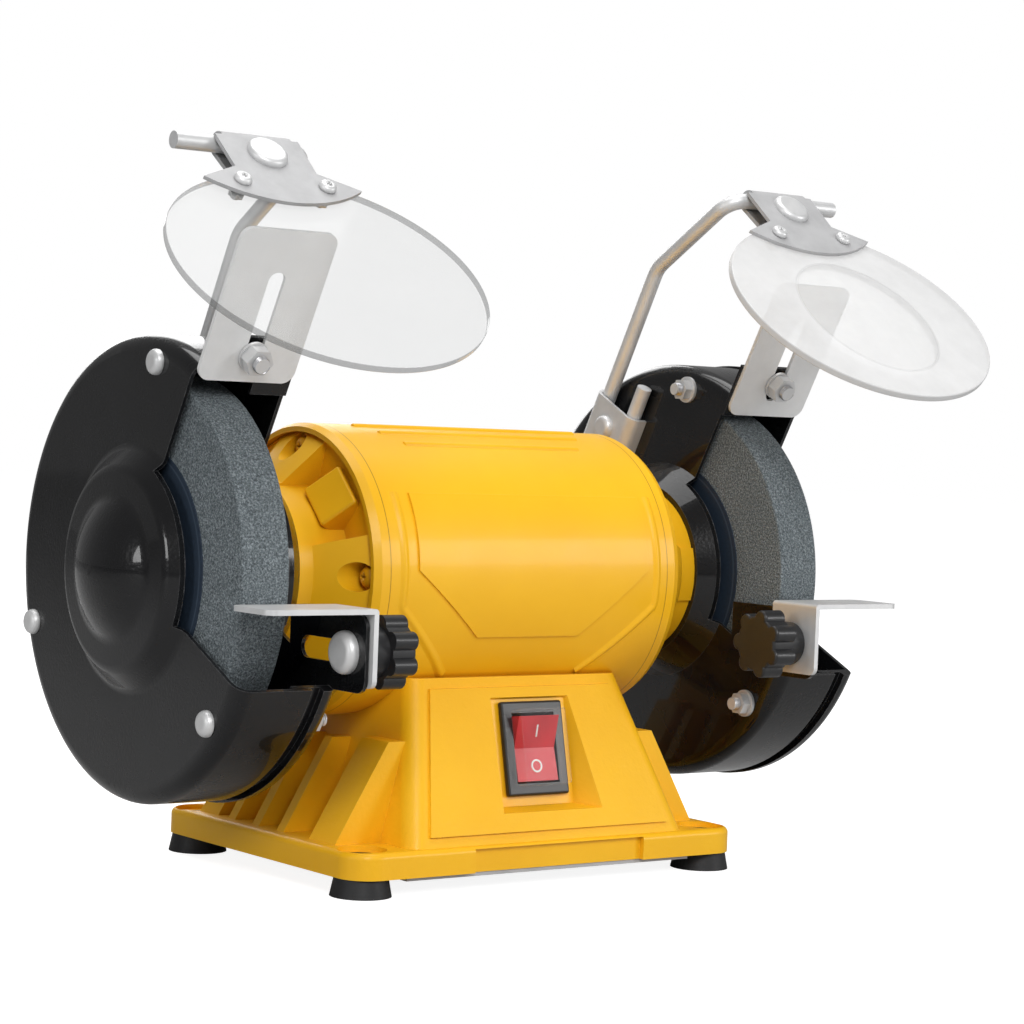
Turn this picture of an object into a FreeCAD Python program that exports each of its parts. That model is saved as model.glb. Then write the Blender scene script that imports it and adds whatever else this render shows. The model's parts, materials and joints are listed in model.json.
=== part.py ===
import FreeCAD, Part
import math
import os
import Sketcher

# Bench grinder with two 150 mm wheels. Millimetres, +Z up, X along the spindle, -Y at the switch side.
# The origin lies on the floor in the middle of the four feet. Sizes along Y are measured from the spindle
# axis, and place() moves every piece from there to the origin.

doc = FreeCAD.newDocument("bench_grinder")
sheet = doc.addObject("Spreadsheet::Sheet", "dims")

SIZES = {
    # Spindle, wheels and what clamps them
    "spindle_height": 119.4,
    "wheel_radius": 75.0,
    "wheel_thickness": 20.0,
    "wheel_setback": 13.8,
    "label_radius": 47.5,
    "label_thickness": 0.5,
    "spindle_end_radius": 6.35,
    "journal_radius": 7.5,
    "spindle_radius": 9.0,
    "wheel_flange_radius": 24.0,
    "wheel_flange_thickness": 4.0,
    "spindle_nut_width": 19.0,
    "spindle_nut_height": 9.0,
    # Guards
    "guard_outer": 152.5,
    "guard_inner": 110.0,
    "metal": 1.5,
    "pan_radius": 89.5,
    "pan_corner": 6.6,
    "rim_radius": 90.3,
    "rim_depth": 6.0,
    "groove": 4.5,
    "rim_corner": 4.0,
    "nest_gap": 0.5,
    "dish_radius": 46.5,
    "dish_flat_radius": 37.5,
    "dish_height": 10.0,
    "dome_step_radius": 38.5,
    "dome_step_height": 7.5,
    "dome_radius": 27.0,
    "dome_foot": 8.3,
    "dome_height": 18.0,
    "spindle_hole_radius": 14.0,
    "opening_top": 61.5,
    "opening_bottom": 26.0,
    "opening_radius": 43.0,
    "guard_bolt_circle": 80.0,
    "guard_bolt_radius": 2.5,
    "guard_bolt_start": 79.0,
    "head_radius": 5.0,
    "head_height": 3.2,
    "nut_width": 8.0,
    "nut_height": 5.0,
    # Motor
    "motor_radius": 58.0,
    "motor_wall": 5.0,
    "motor_centre": -3.0,
    "seam_half": 69.0,
    "lip_half": 76.0,
    "hub_radius": 36.0,
    "bell_floor": 4.0,
    "bell_rim": 3.5,
    "bearing_radius": 17.5,
    "bearing_width": 11.0,
    "bearing_clearance": 0.05,
    "bell_screw_circle": 48.5,
    "panel_height": 0.9,
    # Base
    "base_half_length": 95.5,
    "base_front": 76.15,
    "base_back": 67.85,
    "base_bottom": 7.3,
    "flange_top": 17.5,
    "pedestal_below_spindle": 39.9,
    "pedestal_ledge": 27.0,
    "pedestal_half_top": 52.5,
    "pedestal_front_bottom": 73.2,
    "pedestal_front_top": 45.9,
    "pedestal_back_bottom": 65.0,
    "casting_wall": 8.0,
    "foot_inset_x": 10.9,
    "foot_inset_y": 12.3,
    "foot_radius": 11.9,
    "foot_neck_radius": 10.4,
    "foot_hole_radius": 3.5,
    # Switch
    "switch_x": 2.5,
    "switch_y": -53.6,
    "switch_above_middle": 2.7,
    "switch_lean": 12.6,
    "frame_width": 30.5,
    "frame_tall": 37.6,
    "rocker_width": 20.0,
    "rocker_tall": 27.0,
    # Tool rests
    "rest_below_spindle": 7.9,
    "rest_metal": 2.0,
    "rest_drop": 29.0,
    "rest_front": 103.0,
    "rest_back": 77.0,
    "rest_reach": 47.0,
    "rest_bolt_y": 88.5,
    "rest_bolt_drop": 16.8,
    "rest_bolt_radius": 3.0,
    "slot_width": 8.4,
    "lug_front": 100.5,
    "slide_gap": 0.1,
    # Spark arrestors
    "spark_width": 41.5,
    "spark_length": 62.5,
    "spark_metal": 1.6,
    "spark_low_left": 84.0,
    "spark_low_right": 79.5,
    "spark_bolt_reach": 95.0,
    "spark_slot": 7.0,
    # Eye shields
    "rod_radius": 3.25,
    "rod_lean": 27.6,
    "rod_pitch": 19.4,
    "clamp_gap": 0.35,
    "shield_y": -42.0,
    "shield_above_spindle": 159.0,
    "shield_x": 131.0,
    "shield_tilt": 41.4,
    "rod_end": 164.5,
    "lens_major": 64.4,
    "lens_minor": 52.6,
    "lens_thickness": 3.0,
    "lens_centre": 73.0,
    "knuckle_gap": 0.08,
    "magnifier_radius": 33.5,
    "magnifier_rise": 2.6,
}


class Size:
    """A size in mm (or degrees) together with the sheet formula that drives it."""

    def __init__(self, value, formula):
        self.value = value
        self.formula = formula

    def __add__(self, other):
        other = as_size(other)
        return Size(self.value + other.value, f"({self.formula} + {other.formula})")

    def __sub__(self, other):
        other = as_size(other)
        return Size(self.value - other.value, f"({self.formula} - {other.formula})")

    def __mul__(self, other):
        other = as_size(other)
        return Size(self.value * other.value, f"({self.formula} * {other.formula})")

    def __truediv__(self, other):
        other = as_size(other)
        return Size(self.value / other.value, f"({self.formula} / {other.formula})")

    def __radd__(self, other):
        return as_size(other) + self

    def __rsub__(self, other):
        return as_size(other) - self

    def __rmul__(self, other):
        return as_size(other) * self

    def __neg__(self):
        return Size(-self.value, f"(0 - {self.formula})")


def as_size(number):
    """A plain number becomes a Size whose formula is that number."""
    if isinstance(number, Size):
        return number
    return Size(float(number), f"({float(number):.6f})")


class Sizes:
    """The sheet's named sizes, read as attributes."""

    def __init__(self, table):
        for row, (name, value) in enumerate(table.items(), start=1):
            sheet.set(f"A{row}", name)
            sheet.set(f"B{row}", str(value))
            sheet.setAlias(f"B{row}", name)
            setattr(self, name, Size(value, f"dims.{name}"))


d = Sizes(SIZES)
# Sizes that follow from others
d.deep_wall = d.guard_outer - d.guard_inner - d.rim_depth - d.groove
d.hub_end = d.guard_inner - d.dish_height - 0.1
d.pedestal_top = d.spindle_height - d.pedestal_below_spindle
d.foot_half_x = d.base_half_length - d.foot_inset_x
d.pedestal_half_bottom = d.base_half_length - d.pedestal_ledge
d.foot_half_y = (d.base_front + d.base_back) / 2 - d.foot_inset_y
d.foot_centre_y = (d.base_back - d.base_front) / 2
d.switch_z = (d.flange_top + d.pedestal_top) / 2 + d.switch_above_middle
d.rest_top = d.spindle_height - d.rest_below_spindle
d.rest_bolt_z = d.rest_top - d.rest_bolt_drop
d.rod_side = d.guard_inner - d.rod_radius - d.clamp_gap
d.shield_z = d.spindle_height + d.shield_above_spindle
doc.recompute()

X_AXIS = FreeCAD.Vector(1, 0, 0)
Y_AXIS = FreeCAD.Vector(0, 1, 0)
Z_AXIS = FreeCAD.Vector(0, 0, 1)
ALONG = {
    "X": FreeCAD.Rotation(Y_AXIS, Z_AXIS, X_AXIS, "ZXY"),
    "Y": FreeCAD.Rotation(Z_AXIS, X_AXIS, Y_AXIS, "ZXY"),
    "Z": FreeCAD.Rotation(),
}
LEFT, RIGHT = -1, 1
nodes = {}


def node(label, item):
    """Names a finished piece and keeps it for writing."""
    item.Label = label
    nodes[label] = item
    return item


def bind(item, **sizes):
    """Binds properties of an item to sheet formulas."""
    for prop, size in sizes.items():
        item.setExpression(prop.replace("__", "."), as_size(size).formula)


def place(item, at, rotation=None):
    """Puts an item at a point measured from the spindle axis in Y and from the floor in Z."""
    item.Placement = FreeCAD.Placement(FreeCAD.Vector(), rotation or FreeCAD.Rotation())
    x, y, z = at
    bind(item, Placement__Base__x=x, Placement__Base__y=y - d.foot_centre_y, Placement__Base__z=z)
    return item


def close_to(at):
    """A test for edges whose middle lies at a point given as for place()."""
    x, y, z = [as_size(part).value for part in at]
    middle = FreeCAD.Vector(x, y - d.foot_centre_y.value, z)
    return lambda edge: edge.CenterOfMass.sub(middle).Length < 0.1


def cylinder(radius, length, at, along="X", sweep=360, turn=None):
    """A round bar that starts at a point and runs along an axis."""
    item = doc.addObject("Part::Cylinder", "bar")
    bind(item, Radius=radius, Height=length, Angle=sweep)
    return place(item, at, turn or ALONG[along])


def cone(radius_1, radius_2, length, at, along="X"):
    """A round bar whose radius changes along its length."""
    item = doc.addObject("Part::Cone", "taper")
    bind(item, Radius1=radius_1, Radius2=radius_2, Height=length)
    return place(item, at, ALONG[along])


def box(x, y, z):
    """A block between two limits on each axis."""
    item = doc.addObject("Part::Box", "block")
    (x0, x1), (y0, y1), (z0, z1) = [(as_size(a), as_size(b)) for a, b in (x, y, z)]
    bind(item, Length=x1 - x0, Width=y1 - y0, Height=z1 - z0)
    return place(item, (x0, y0, z0))


def frustum(x_low, y_low, z, x_high, y_high):
    """A block that tapers upward from one rectangle to another."""
    item = doc.addObject("Part::Wedge", "frustum")
    bind(item, Xmin=x_low[0], Xmax=x_low[1], Zmin=-as_size(y_low[1]), Zmax=-as_size(y_low[0]))
    bind(item, X2min=x_high[0], X2max=x_high[1], Z2min=-as_size(y_high[1]), Z2max=-as_size(y_high[0]))
    bind(item, Ymin=z[0], Ymax=z[1])
    return place(item, (0, 0, 0), FreeCAD.Rotation(X_AXIS, 90))


def hexagon(width, length, at, turn=ALONG["X"]):
    """A six-sided bar measured across its flats."""
    item = doc.addObject("Part::Prism", "hexagon")
    item.Polygon = 6
    bind(item, Circumradius=as_size(width) / math.sqrt(3), Height=length)
    return place(item, at, turn)


def fuse(*items):
    """Several pieces of metal as one solid."""
    item = doc.addObject("Part::MultiFuse", "union")
    item.Shapes = list(items)
    item.Refine = True
    return item


def cut(base, *tools):
    """A solid with the tools taken away."""
    item = doc.addObject("Part::Cut", "cut")
    item.Base = base
    item.Tool = tools[0] if len(tools) == 1 else fuse(*tools)
    return item


def common(first, second):
    """What two solids share."""
    item = doc.addObject("Part::MultiCommon", "common")
    item.Shapes = [first, second]
    return item


def mirrored(item):
    """The same piece on the other end of the machine."""
    other = doc.addObject("Part::Mirroring", "mirrored")
    other.Source = item
    other.Normal = X_AXIS
    return other


def group(*items):
    """Identical pieces kept as separate solids."""
    item = doc.addObject("Part::Compound", "group")
    item.Links = list(items)
    return item


def rounded(item, radius, choose):
    """Rounds the edges that the test picks."""
    doc.recompute()
    picked = [(i, radius, radius) for i, edge in enumerate(item.Shape.Edges, start=1)
              if not edge.Degenerated and choose(edge)]
    result = doc.addObject("Part::Fillet", "rounded")
    result.Base = item
    result.Edges = picked
    return result


def runs_along(axis):
    """A test for straight edges that run along an axis."""
    def test(edge):
        if edge.Curve.TypeId != "Part::GeomLine":
            return False
        return abs(abs(edge.Curve.Direction.dot(axis)) - 1) < 1e-6
    return test


def arc_between(start, end, radius):
    """The arc between two points, with its centre on the left for a positive radius."""
    chord = end - start
    middle = (start + end) * 0.5
    reach = math.sqrt(radius * radius - chord.Length ** 2 / 4)
    left = FreeCAD.Vector(-chord.y, chord.x, 0).normalize()
    centre = middle + left * math.copysign(reach, radius)
    first, last = (start, end) if radius > 0 else (end, start)
    angles = [math.atan2(p.y - centre.y, p.x - centre.x) for p in (first, last)]
    return Part.ArcOfCircle(Part.Circle(centre, Z_AXIS, abs(radius)), *angles)


def outline(body, role, corners):
    """A closed sketch. A corner is (u, v), or (u, v, radius) where an arc leads to the next corner."""
    sketch = body.newObject("Sketcher::SketchObject", "outline")
    plane = next(f for f in body.Origin.OriginFeatures if f.Role == role)
    sketch.AttachmentSupport = [(plane, "")]
    sketch.MapMode = "FlatFace"
    points = [FreeCAD.Vector(as_size(c[0]).value, as_size(c[1]).value, 0) for c in corners]
    ends = []
    for i, corner in enumerate(corners):
        start, end = points[i], points[(i + 1) % len(points)]
        if len(corner) == 3:
            radius = as_size(corner[2])
            index = sketch.addGeometry(arc_between(start, end, radius.value))
            ends.append((1, 2) if radius.value > 0 else (2, 1))
            k = sketch.addConstraint(Sketcher.Constraint("Radius", index, abs(radius.value)))
            sketch.renameConstraint(k, f"arc{i}")
            sketch.setExpression(f"Constraints.arc{i}", f"abs({radius.formula})")
        else:
            sketch.addGeometry(Part.LineSegment(start, end))
            ends.append((1, 2))
    for i in range(len(corners)):
        following = (i + 1) % len(corners)
        sketch.addConstraint(Sketcher.Constraint("Coincident", i, ends[i][1], following, ends[following][0]))
    for i, corner in enumerate(corners):
        for kind, size, axis in (("DistanceX", corner[0], -2), ("DistanceY", corner[1], -1)):
            size = as_size(size)
            if abs(size.value) < 1e-9:
                sketch.addConstraint(Sketcher.Constraint("PointOnObject", i, ends[i][0], axis))
                continue
            k = sketch.addConstraint(Sketcher.Constraint(kind, -1, 1, i, ends[i][0], size.value))
            sketch.renameConstraint(k, f"{kind}{i}")
            sketch.setExpression(f"Constraints.{kind}{i}", size.formula)
    return sketch


def turned(corners):
    """A body turned about the spindle from an outline of (x, radius) corners."""
    body = doc.addObject("PartDesign::Body", "turned")
    sketch = outline(body, "XZ_Plane", corners)
    feature = body.newObject("PartDesign::Revolution", "turn")
    feature.Profile = sketch
    feature.ReferenceAxis = (sketch, ["H_Axis"])
    feature.Angle = 360
    body.Tip = feature
    return place(body, (0, 0, d.spindle_height))


def padded(corners, thickness, at=(0, 0, 0), rotation=None):
    """A plate cut to an outline, padded toward its own +Z."""
    body = doc.addObject("PartDesign::Body", "plate")
    feature = body.newObject("PartDesign::Pad", "pad")
    feature.Profile = outline(body, "XY_Plane", corners)
    bind(feature, Length=thickness)
    body.Tip = feature
    return place(body, at, rotation)


def obround(length, width):
    """Corners of a slot along u, centred on the origin, ends included."""
    r = as_size(width) / 2
    half = as_size(length) / 2 - r
    return [(-half, -r), (half, -r, r), (half + r, 0, r), (half, r), (-half, r, r), (-half - r, 0, r)]


def forward(angle):
    """Unit vector in the wheel's plane, measured up from straight ahead."""
    return FreeCAD.Vector(0, -math.cos(math.radians(angle)), math.sin(math.radians(angle)))


def on_wheel_plane(angle, reach):
    """A point (y, z) at a distance from the spindle."""
    ray = forward(angle)
    return as_size(reach) * ray.y, d.spindle_height + as_size(reach) * ray.z


spindle_z = d.spindle_height


def bar_on_spindle(radius, x0, x1):
    """A round bar about the spindle axis between two stations."""
    return cylinder(radius, as_size(x1) - as_size(x0), (x0, 0, spindle_z))


# Base casting

foot_points = [(sx * d.foot_half_x, d.foot_centre_y + sy * d.foot_half_y) for sx in (-1, 1) for sy in (-1, 1)]
flange = rounded(box((-d.base_half_length, d.base_half_length), (-d.base_front, d.base_back),
                     (d.base_bottom, d.flange_top)), 12.0, runs_along(Z_AXIS))
flange = rounded(flange, 2.5, lambda edge: edge.CenterOfMass.z > d.flange_top.value - 0.1)


def pedestal(inset, z_low, z_high):
    """The tapered pedestal between two heights, moved in by a wall thickness."""
    rise = d.pedestal_top - d.flange_top

    def at(height, low, high):
        return low + (high - low) * ((height - d.flange_top) / rise) - inset

    half = [at(z, d.pedestal_half_bottom, d.pedestal_half_top) for z in (z_low, z_high)]
    front = [at(z, d.pedestal_front_bottom, d.pedestal_front_top) for z in (z_low, z_high)]
    back = [at(z, d.pedestal_back_bottom, d.pedestal_front_top) for z in (z_low, z_high)]
    return frustum((-half[0], half[0]), (-front[0], back[0]), (z_low, z_high),
                   (-half[1], half[1]), (-front[1], back[1]))


def leans(edge):
    """True for the four sloping corner edges of the pedestal."""
    low, high = sorted(v.Z for v in edge.Vertexes)
    return high - low > 20


column = rounded(pedestal(0, d.flange_top - 2, d.pedestal_top), 7.0, leans)


def face_panel():
    """The raised panel on the pedestal's front."""
    proud, side = 1.2, 8.5
    slab = pedestal(-proud, d.flange_top + 4, d.pedestal_top - 4)
    limit = pedestal(side, d.flange_top + 4, d.pedestal_top - 4)
    doc.recompute()
    width = frustum((limit.Xmin.Value, limit.Xmax.Value), (-100, -30), (d.flange_top + 4, d.pedestal_top - 4),
                    (limit.X2min.Value, limit.X2max.Value), (-100, -30))
    return common(slab, width)


def gusset(side, y0, y1, x_top, z_top):
    """A sloping rib from the pedestal's end wall down to the flange."""
    foot_x = SIZES["base_half_length"] - 4.5
    x_low = sorted((side * 45, side * foot_x))
    x_high = sorted((side * 45, side * x_top))
    return frustum(x_low, (y0, y1), (d.flange_top - 3, z_top), x_high, (y0, y1))


gussets = []
for side in (LEFT, RIGHT):
    gussets.append(gusset(side, -52, -34, 66, d.pedestal_top - 23.5))
    for y0 in (-16, 2, 20):
        gussets.append(gusset(side, y0, y0 + 5, 68, d.pedestal_top - 25.5))
    gussets.append(gusset(side, 33, 48, 66, d.pedestal_top - 23.5))
solid = fuse(flange, column, face_panel(), *gussets)

lean = FreeCAD.Rotation(X_AXIS, -SIZES["switch_lean"])
switch_at = (d.switch_x, d.switch_y, d.switch_z)
# In the switch's own frame u runs along X, v up the panel and w out of it.
switch_frame = lean.multiply(FreeCAD.Rotation(X_AXIS, FreeCAD.Vector(0, 0, 1), FreeCAD.Vector(0, -1, 0), "ZXY"))


def switch_point(u, v, w):
    """A point in the switch's frame, in the machine's frame."""
    move = switch_frame.multVec(FreeCAD.Vector(u, v, w))
    return (d.switch_x + move.x, d.switch_y + move.y, d.switch_z + move.z)


def switch_block(width, tall, w0, w1, v0=0.0):
    """A block centred on the switch, between two depths."""
    item = doc.addObject("Part::Box", "block")
    width, tall = as_size(width), as_size(tall)
    bind(item, Length=width, Width=tall, Height=w1 - w0)
    return place(item, switch_point(-width.value / 2, v0 - tall.value / 2, w0), switch_frame)


recess = doc.addObject("Part::Wedge", "recess")
bind(recess, Xmin=-18.5, Xmax=18.5, Zmin=-22.5, Zmax=20, X2min=-29, X2max=29, Z2min=-28, Z2max=27,
     Ymin=0, Ymax=18)
place(recess, switch_at, lean.multiply(FreeCAD.Rotation(Z_AXIS, 180)))
switch_hole = switch_block(24.6, 31.6, -19.5, 1.0)
cradle = bar_on_spindle(d.motor_radius, -120, 120)
hollow = cut(pedestal(d.casting_wall, d.base_bottom - 2, d.pedestal_top - 25.5), switch_block(46, 56, -6, 30))
apron = box((-40, 44), (-d.base_front - 1, -d.base_front + 2.5), (d.base_bottom - 1, d.flange_top - 1))
inlet_x, inlet_seat, inlet_z = 30.0, 56.6, 36.0
inlet_radius, inlet_collar = 6.0, 9.0
inlet_hole = cylinder(inlet_radius, 40, (inlet_x, inlet_seat - 16, inlet_z), "Y")
inlet_face = cylinder(inlet_collar + 0.2, 20, (inlet_x, inlet_seat, inlet_z), "Y")
drills = []
for x, y in foot_points:
    drills.append(cylinder(d.foot_hole_radius + 2.5, 30, (x, y, d.base_bottom - 1), "Z"))
    drills.append(cylinder(9.5, 10, (x, y, d.flange_top - 2), "Z"))
node("base_casting", cut(solid, cradle, hollow, recess, switch_hole, apron, inlet_hole, inlet_face, *drills))

cover_z = d.base_bottom - 1.6
cover_half = d.pedestal_half_bottom + 1.5
base_cover = box((-cover_half, cover_half), (-d.base_front + 3, d.base_back - 3), (cover_z, d.base_bottom))
node("base_cover", base_cover)


def foot(x, y):
    """A tapered rubber foot whose neck sits in the flange, with a hole for a bench bolt."""
    neck_top = d.flange_top - 2
    body = cone(d.foot_radius, d.foot_neck_radius, d.base_bottom, (x, y, 0), "Z")
    neck = cylinder(d.foot_hole_radius + 2.5, neck_top - d.base_bottom + 1, (x, y, d.base_bottom - 1), "Z")
    return cut(fuse(body, neck), cylinder(d.foot_hole_radius, 40, (x, y, -5), "Z"))


node("rubber_feet", group(*[foot(x, y) for x, y in foot_points]))

grommet = fuse(cylinder(inlet_collar, 4, (inlet_x, inlet_seat, inlet_z), "Y"),
               cylinder(inlet_radius, 10, (inlet_x, inlet_seat - 8, inlet_z), "Y"),
               cone(inlet_collar - 1, inlet_radius, 9, (inlet_x, inlet_seat + 4, inlet_z), "Y"))
node("cord_inlet", cut(grommet, cylinder(3.8, 40, (inlet_x, inlet_seat - 15, inlet_z), "Y")))
can_radius = 16.0
can = cylinder(can_radius, 58, (-40, 20, d.base_bottom + can_radius))
node("capacitor", rounded(can, 2.0, lambda edge: True))

# Switch

frame_hole = switch_block(d.rocker_width + 1.2, d.rocker_tall + 1.2, -16, 5)
plate = rounded(switch_block(d.frame_width, d.frame_tall, 0, 2.6), 1.0, lambda edge: True)
pivot_depth, pivot_radius, pivot_reach = -2.0, 1.5, 11.2


def pivot_bar(gap):
    """The bar that the rocker turns on, with a gap all round."""
    reach = pivot_reach + gap
    return cylinder(pivot_radius + gap, 2 * reach, switch_point(-reach, 0, pivot_depth))


node("switch_frame", cut(fuse(plate, switch_block(24.2, 31.2, -18.5, 1)), frame_hole, pivot_bar(0.08)))
half_tall = d.rocker_tall / 2
rocker_outline = [(-half_tall, -5), (half_tall, -5), (half_tall - 1.1, 6.8), (0, 1.6), (-half_tall + 0.3, 2.4)]
rocker_turn = switch_frame.multiply(FreeCAD.Rotation(FreeCAD.Vector(0, 1, 0), Z_AXIS, X_AXIS, "ZXY"))
rocker_at = switch_point(-SIZES["rocker_width"] / 2, 0, 0)
node("switch_rocker", fuse(padded(rocker_outline, d.rocker_width, rocker_at, rocker_turn), pivot_bar(0)))
boot = rounded(switch_block(23.4, 31, 2.7, 10.6), 2.0, lambda edge: True)
node("switch_boot", cut(boot, switch_block(22.2, 29.8, 2, 9.6)))

# Motor housing

seam_left, seam_right = d.motor_centre - d.seam_half, d.motor_centre + d.seam_half
tube = bar_on_spindle(d.motor_radius, seam_left, seam_right)
panel_top, panel_turn, panel_low = spindle_z + 32.6, spindle_z + 3.1, spindle_z - 23.4
panel_outline = [(-59, panel_top), (55, panel_top), (55, panel_turn), (23, panel_low), (-27, panel_low),
                 (-59, panel_turn)]
panel_plan = padded(panel_outline, 80, (0, 0, 0), FreeCAD.Rotation(X_AXIS, FreeCAD.Vector(0, 0, 1),
                                                                 FreeCAD.Vector(0, -1, 0), "ZXY"))
panel = common(panel_plan, bar_on_spindle(d.motor_radius + d.panel_height, seam_left, seam_right))
ribs = []
for angle, half in ((62, 44), (72, 50), (82, 56)):
    y, z = on_wheel_plane(angle, d.motor_radius - 0.6)
    ribs.append(rounded(cylinder(1.6, 2 * half, (d.motor_centre - half, y, z)), 0.8, lambda edge: True))
node("motor_housing", cut(fuse(tube, panel, *ribs), bar_on_spindle(d.motor_radius - d.motor_wall, -100, 100)))


guard_screw_radius, bell_screw_radius = 2.0, 2.0
mount_points = [on_wheel_plane(angle, 26) for angle in (90, 210, 330)]


def end_bell(side):
    """An end bell: rim ring, coned spokes with screw scoops, four windows with blocks, hub and bearing seat."""
    seam = side * d.motor_centre + d.seam_half
    lip = side * d.motor_centre + d.lip_half
    rim = d.motor_radius - d.bell_rim
    body = turned([(side * seam, rim), (side * seam, d.motor_radius), (side * (lip - 3), d.motor_radius),
                   (side * lip, d.motor_radius - 1.5), (side * lip, rim), (side * (lip - 3), rim),
                   (side * (d.hub_end - 7), d.hub_radius), (side * d.hub_end, d.hub_radius),
                   (side * d.hub_end, d.journal_radius + 2.5), (side * (seam + 16), d.journal_radius + 2.5),
                   (side * (seam + 16), d.bearing_radius), (side * (seam + 16 - d.bearing_width), d.bearing_radius),
                   (side * (seam - 1), 22), (side * seam, 22)])
    hub_end = d.hub_end.value
    cuts = [cylinder(guard_screw_radius, 7.5, (min(side * (hub_end - 7.4), side * (hub_end + 0.1)), y, z))
            for y, z in mount_points]
    blocks = []
    floor = seam + d.bell_floor
    for quarter in range(4):
        middle = 45 + 90 * quarter
        turn = FreeCAD.Rotation(forward(middle + 27), forward(middle - 63), X_AXIS, "ZXY")
        sector = cylinder(rim - 1, 40, (min(side * floor.value, side * (floor.value + 40)), 0, spindle_z), sweep=54,
                          turn=turn)
        cuts.append(cut(sector, bar_on_spindle(d.hub_radius - 1, -140, 140)))
        block = doc.addObject("Part::Box", "block")
        block_long, block_wide, block_tall, block_tilt = 17.0, 19.0, 14.0, math.radians(33)
        bind(block, Length=block_long, Width=block_wide, Height=block_tall)
        out = forward(middle)
        outward = X_AXIS * side
        down_cone = out * math.cos(block_tilt) - outward * math.sin(block_tilt)
        off_cone = outward * math.cos(block_tilt) + out * math.sin(block_tilt)
        across = off_cone.cross(down_cone)
        corner = out * SIZES["hub_radius"] - across * (block_wide / 2) - off_cone * block_tall
        at = (side * (floor + 12) + corner.x, corner.y, spindle_z + corner.z)
        blocks.append(place(block, at, FreeCAD.Rotation(down_cone, across, off_cone, "ZXY")))
        y, z = on_wheel_plane(90 * quarter, d.bell_screw_circle)
        cuts.append(cylinder(5.7, 40, (min(side * (lip.value - 4), side * (lip.value + 36)), y, z)))
        cuts.append(cylinder(bell_screw_radius, 3, (min(side * (lip.value - 4), side * (lip.value - 7)), y, z)))
    return fuse(cut(body, *cuts), *[rounded(b, 1.2, lambda edge: True) for b in blocks])


def pan_head(radius, height, shank_radius, shank, at, side):
    """A round-headed screw whose head points toward side along X and whose shank runs back."""
    x, y, z = as_size(at[0]), at[1], at[2]
    head = cylinder(radius, height, (x if side > 0 else x - height, y, z))
    rim_x = x.value + side * as_size(height).value
    head = rounded(head, 0.8 * as_size(height).value,
                   lambda edge: (abs(edge.CenterOfMass.x - rim_x) < 0.01
                                 and edge.Curve.TypeId == "Part::GeomCircle"))
    return fuse(head, cylinder(shank_radius, shank, (x - shank if side > 0 else x, y, z)))


bell_screws = []
for side, name in ((LEFT, "left"), (RIGHT, "right")):
    node(f"{name}_end_bell", end_bell(side))
    seat = side * (side * d.motor_centre + d.lip_half - 4)
    for quarter in range(4):
        y, z = on_wheel_plane(90 * quarter, d.bell_screw_circle)
        bell_screws.append(pan_head(4.2, 3.4, bell_screw_radius, 3, (seat, y, z), side))
node("end_bell_screws", group(*bell_screws))

stator_outer = d.motor_radius - d.motor_wall
core_bore = 32.6
core_half = 32.0
core_left, core_right = d.motor_centre - core_half, d.motor_centre + core_half
stator_core = cut(bar_on_spindle(stator_outer, core_left, core_right), bar_on_spindle(core_bore, -90, 90))
node("stator_core", stator_core)
windings = []
for side in (LEFT, RIGHT):
    near, far = sorted((side * (core_half + 0.2), side * (core_half + 22)))
    coil = cut(bar_on_spindle(47, d.motor_centre + near, d.motor_centre + far), bar_on_spindle(35, -90, 90))
    windings.append(rounded(coil, 4.0, lambda edge: edge.Curve.TypeId == "Part::GeomCircle"))
node("stator_windings", group(*windings))
bearings = []
for side in (LEFT, RIGHT):
    seam = side * d.motor_centre + d.seam_half
    near, far = sorted((side * (seam.value + 5.2), side * (seam.value + 15.8)))
    bearings.append(cut(bar_on_spindle(d.bearing_radius, near, far),
                        bar_on_spindle(d.journal_radius + d.bearing_clearance, -140, 140)))
node("bearings", group(*bearings))

# Spindle and what turns with it

wheel_left = -d.guard_outer + d.wheel_setback
wheel_right = d.guard_inner + d.wheel_setback
half_wheel = d.wheel_thickness / 2
stack = d.label_thickness + d.wheel_flange_thickness
shoulder_left, shoulder_right = wheel_left + half_wheel + stack, wheel_right - half_wheel - stack
end_left = wheel_left - half_wheel - stack - d.spindle_nut_height - 1.6
end_right = wheel_right + half_wheel + stack + d.spindle_nut_height + 1.6
step_left, step_right = seam_left - 2, seam_right + 2
node("spindle", turned([(end_left, 0), (end_right, 0), (end_right, d.spindle_end_radius - 1),
                        (end_right - 1, d.spindle_end_radius), (shoulder_right, d.spindle_end_radius),
                        (shoulder_right, d.journal_radius), (step_right, d.journal_radius),
                        (step_right, d.spindle_radius), (step_left, d.spindle_radius),
                        (step_left, d.journal_radius), (shoulder_left, d.journal_radius),
                        (shoulder_left, d.spindle_end_radius), (end_left + 1, d.spindle_end_radius),
                        (end_left, d.spindle_end_radius - 1)]))
air_gap = 0.6
node("rotor_core", cut(bar_on_spindle(core_bore - air_gap, core_left - 6, core_right + 6),
                       bar_on_spindle(d.spindle_radius, -90, 90)))
labels, flanges, nuts = [], [], []
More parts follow.
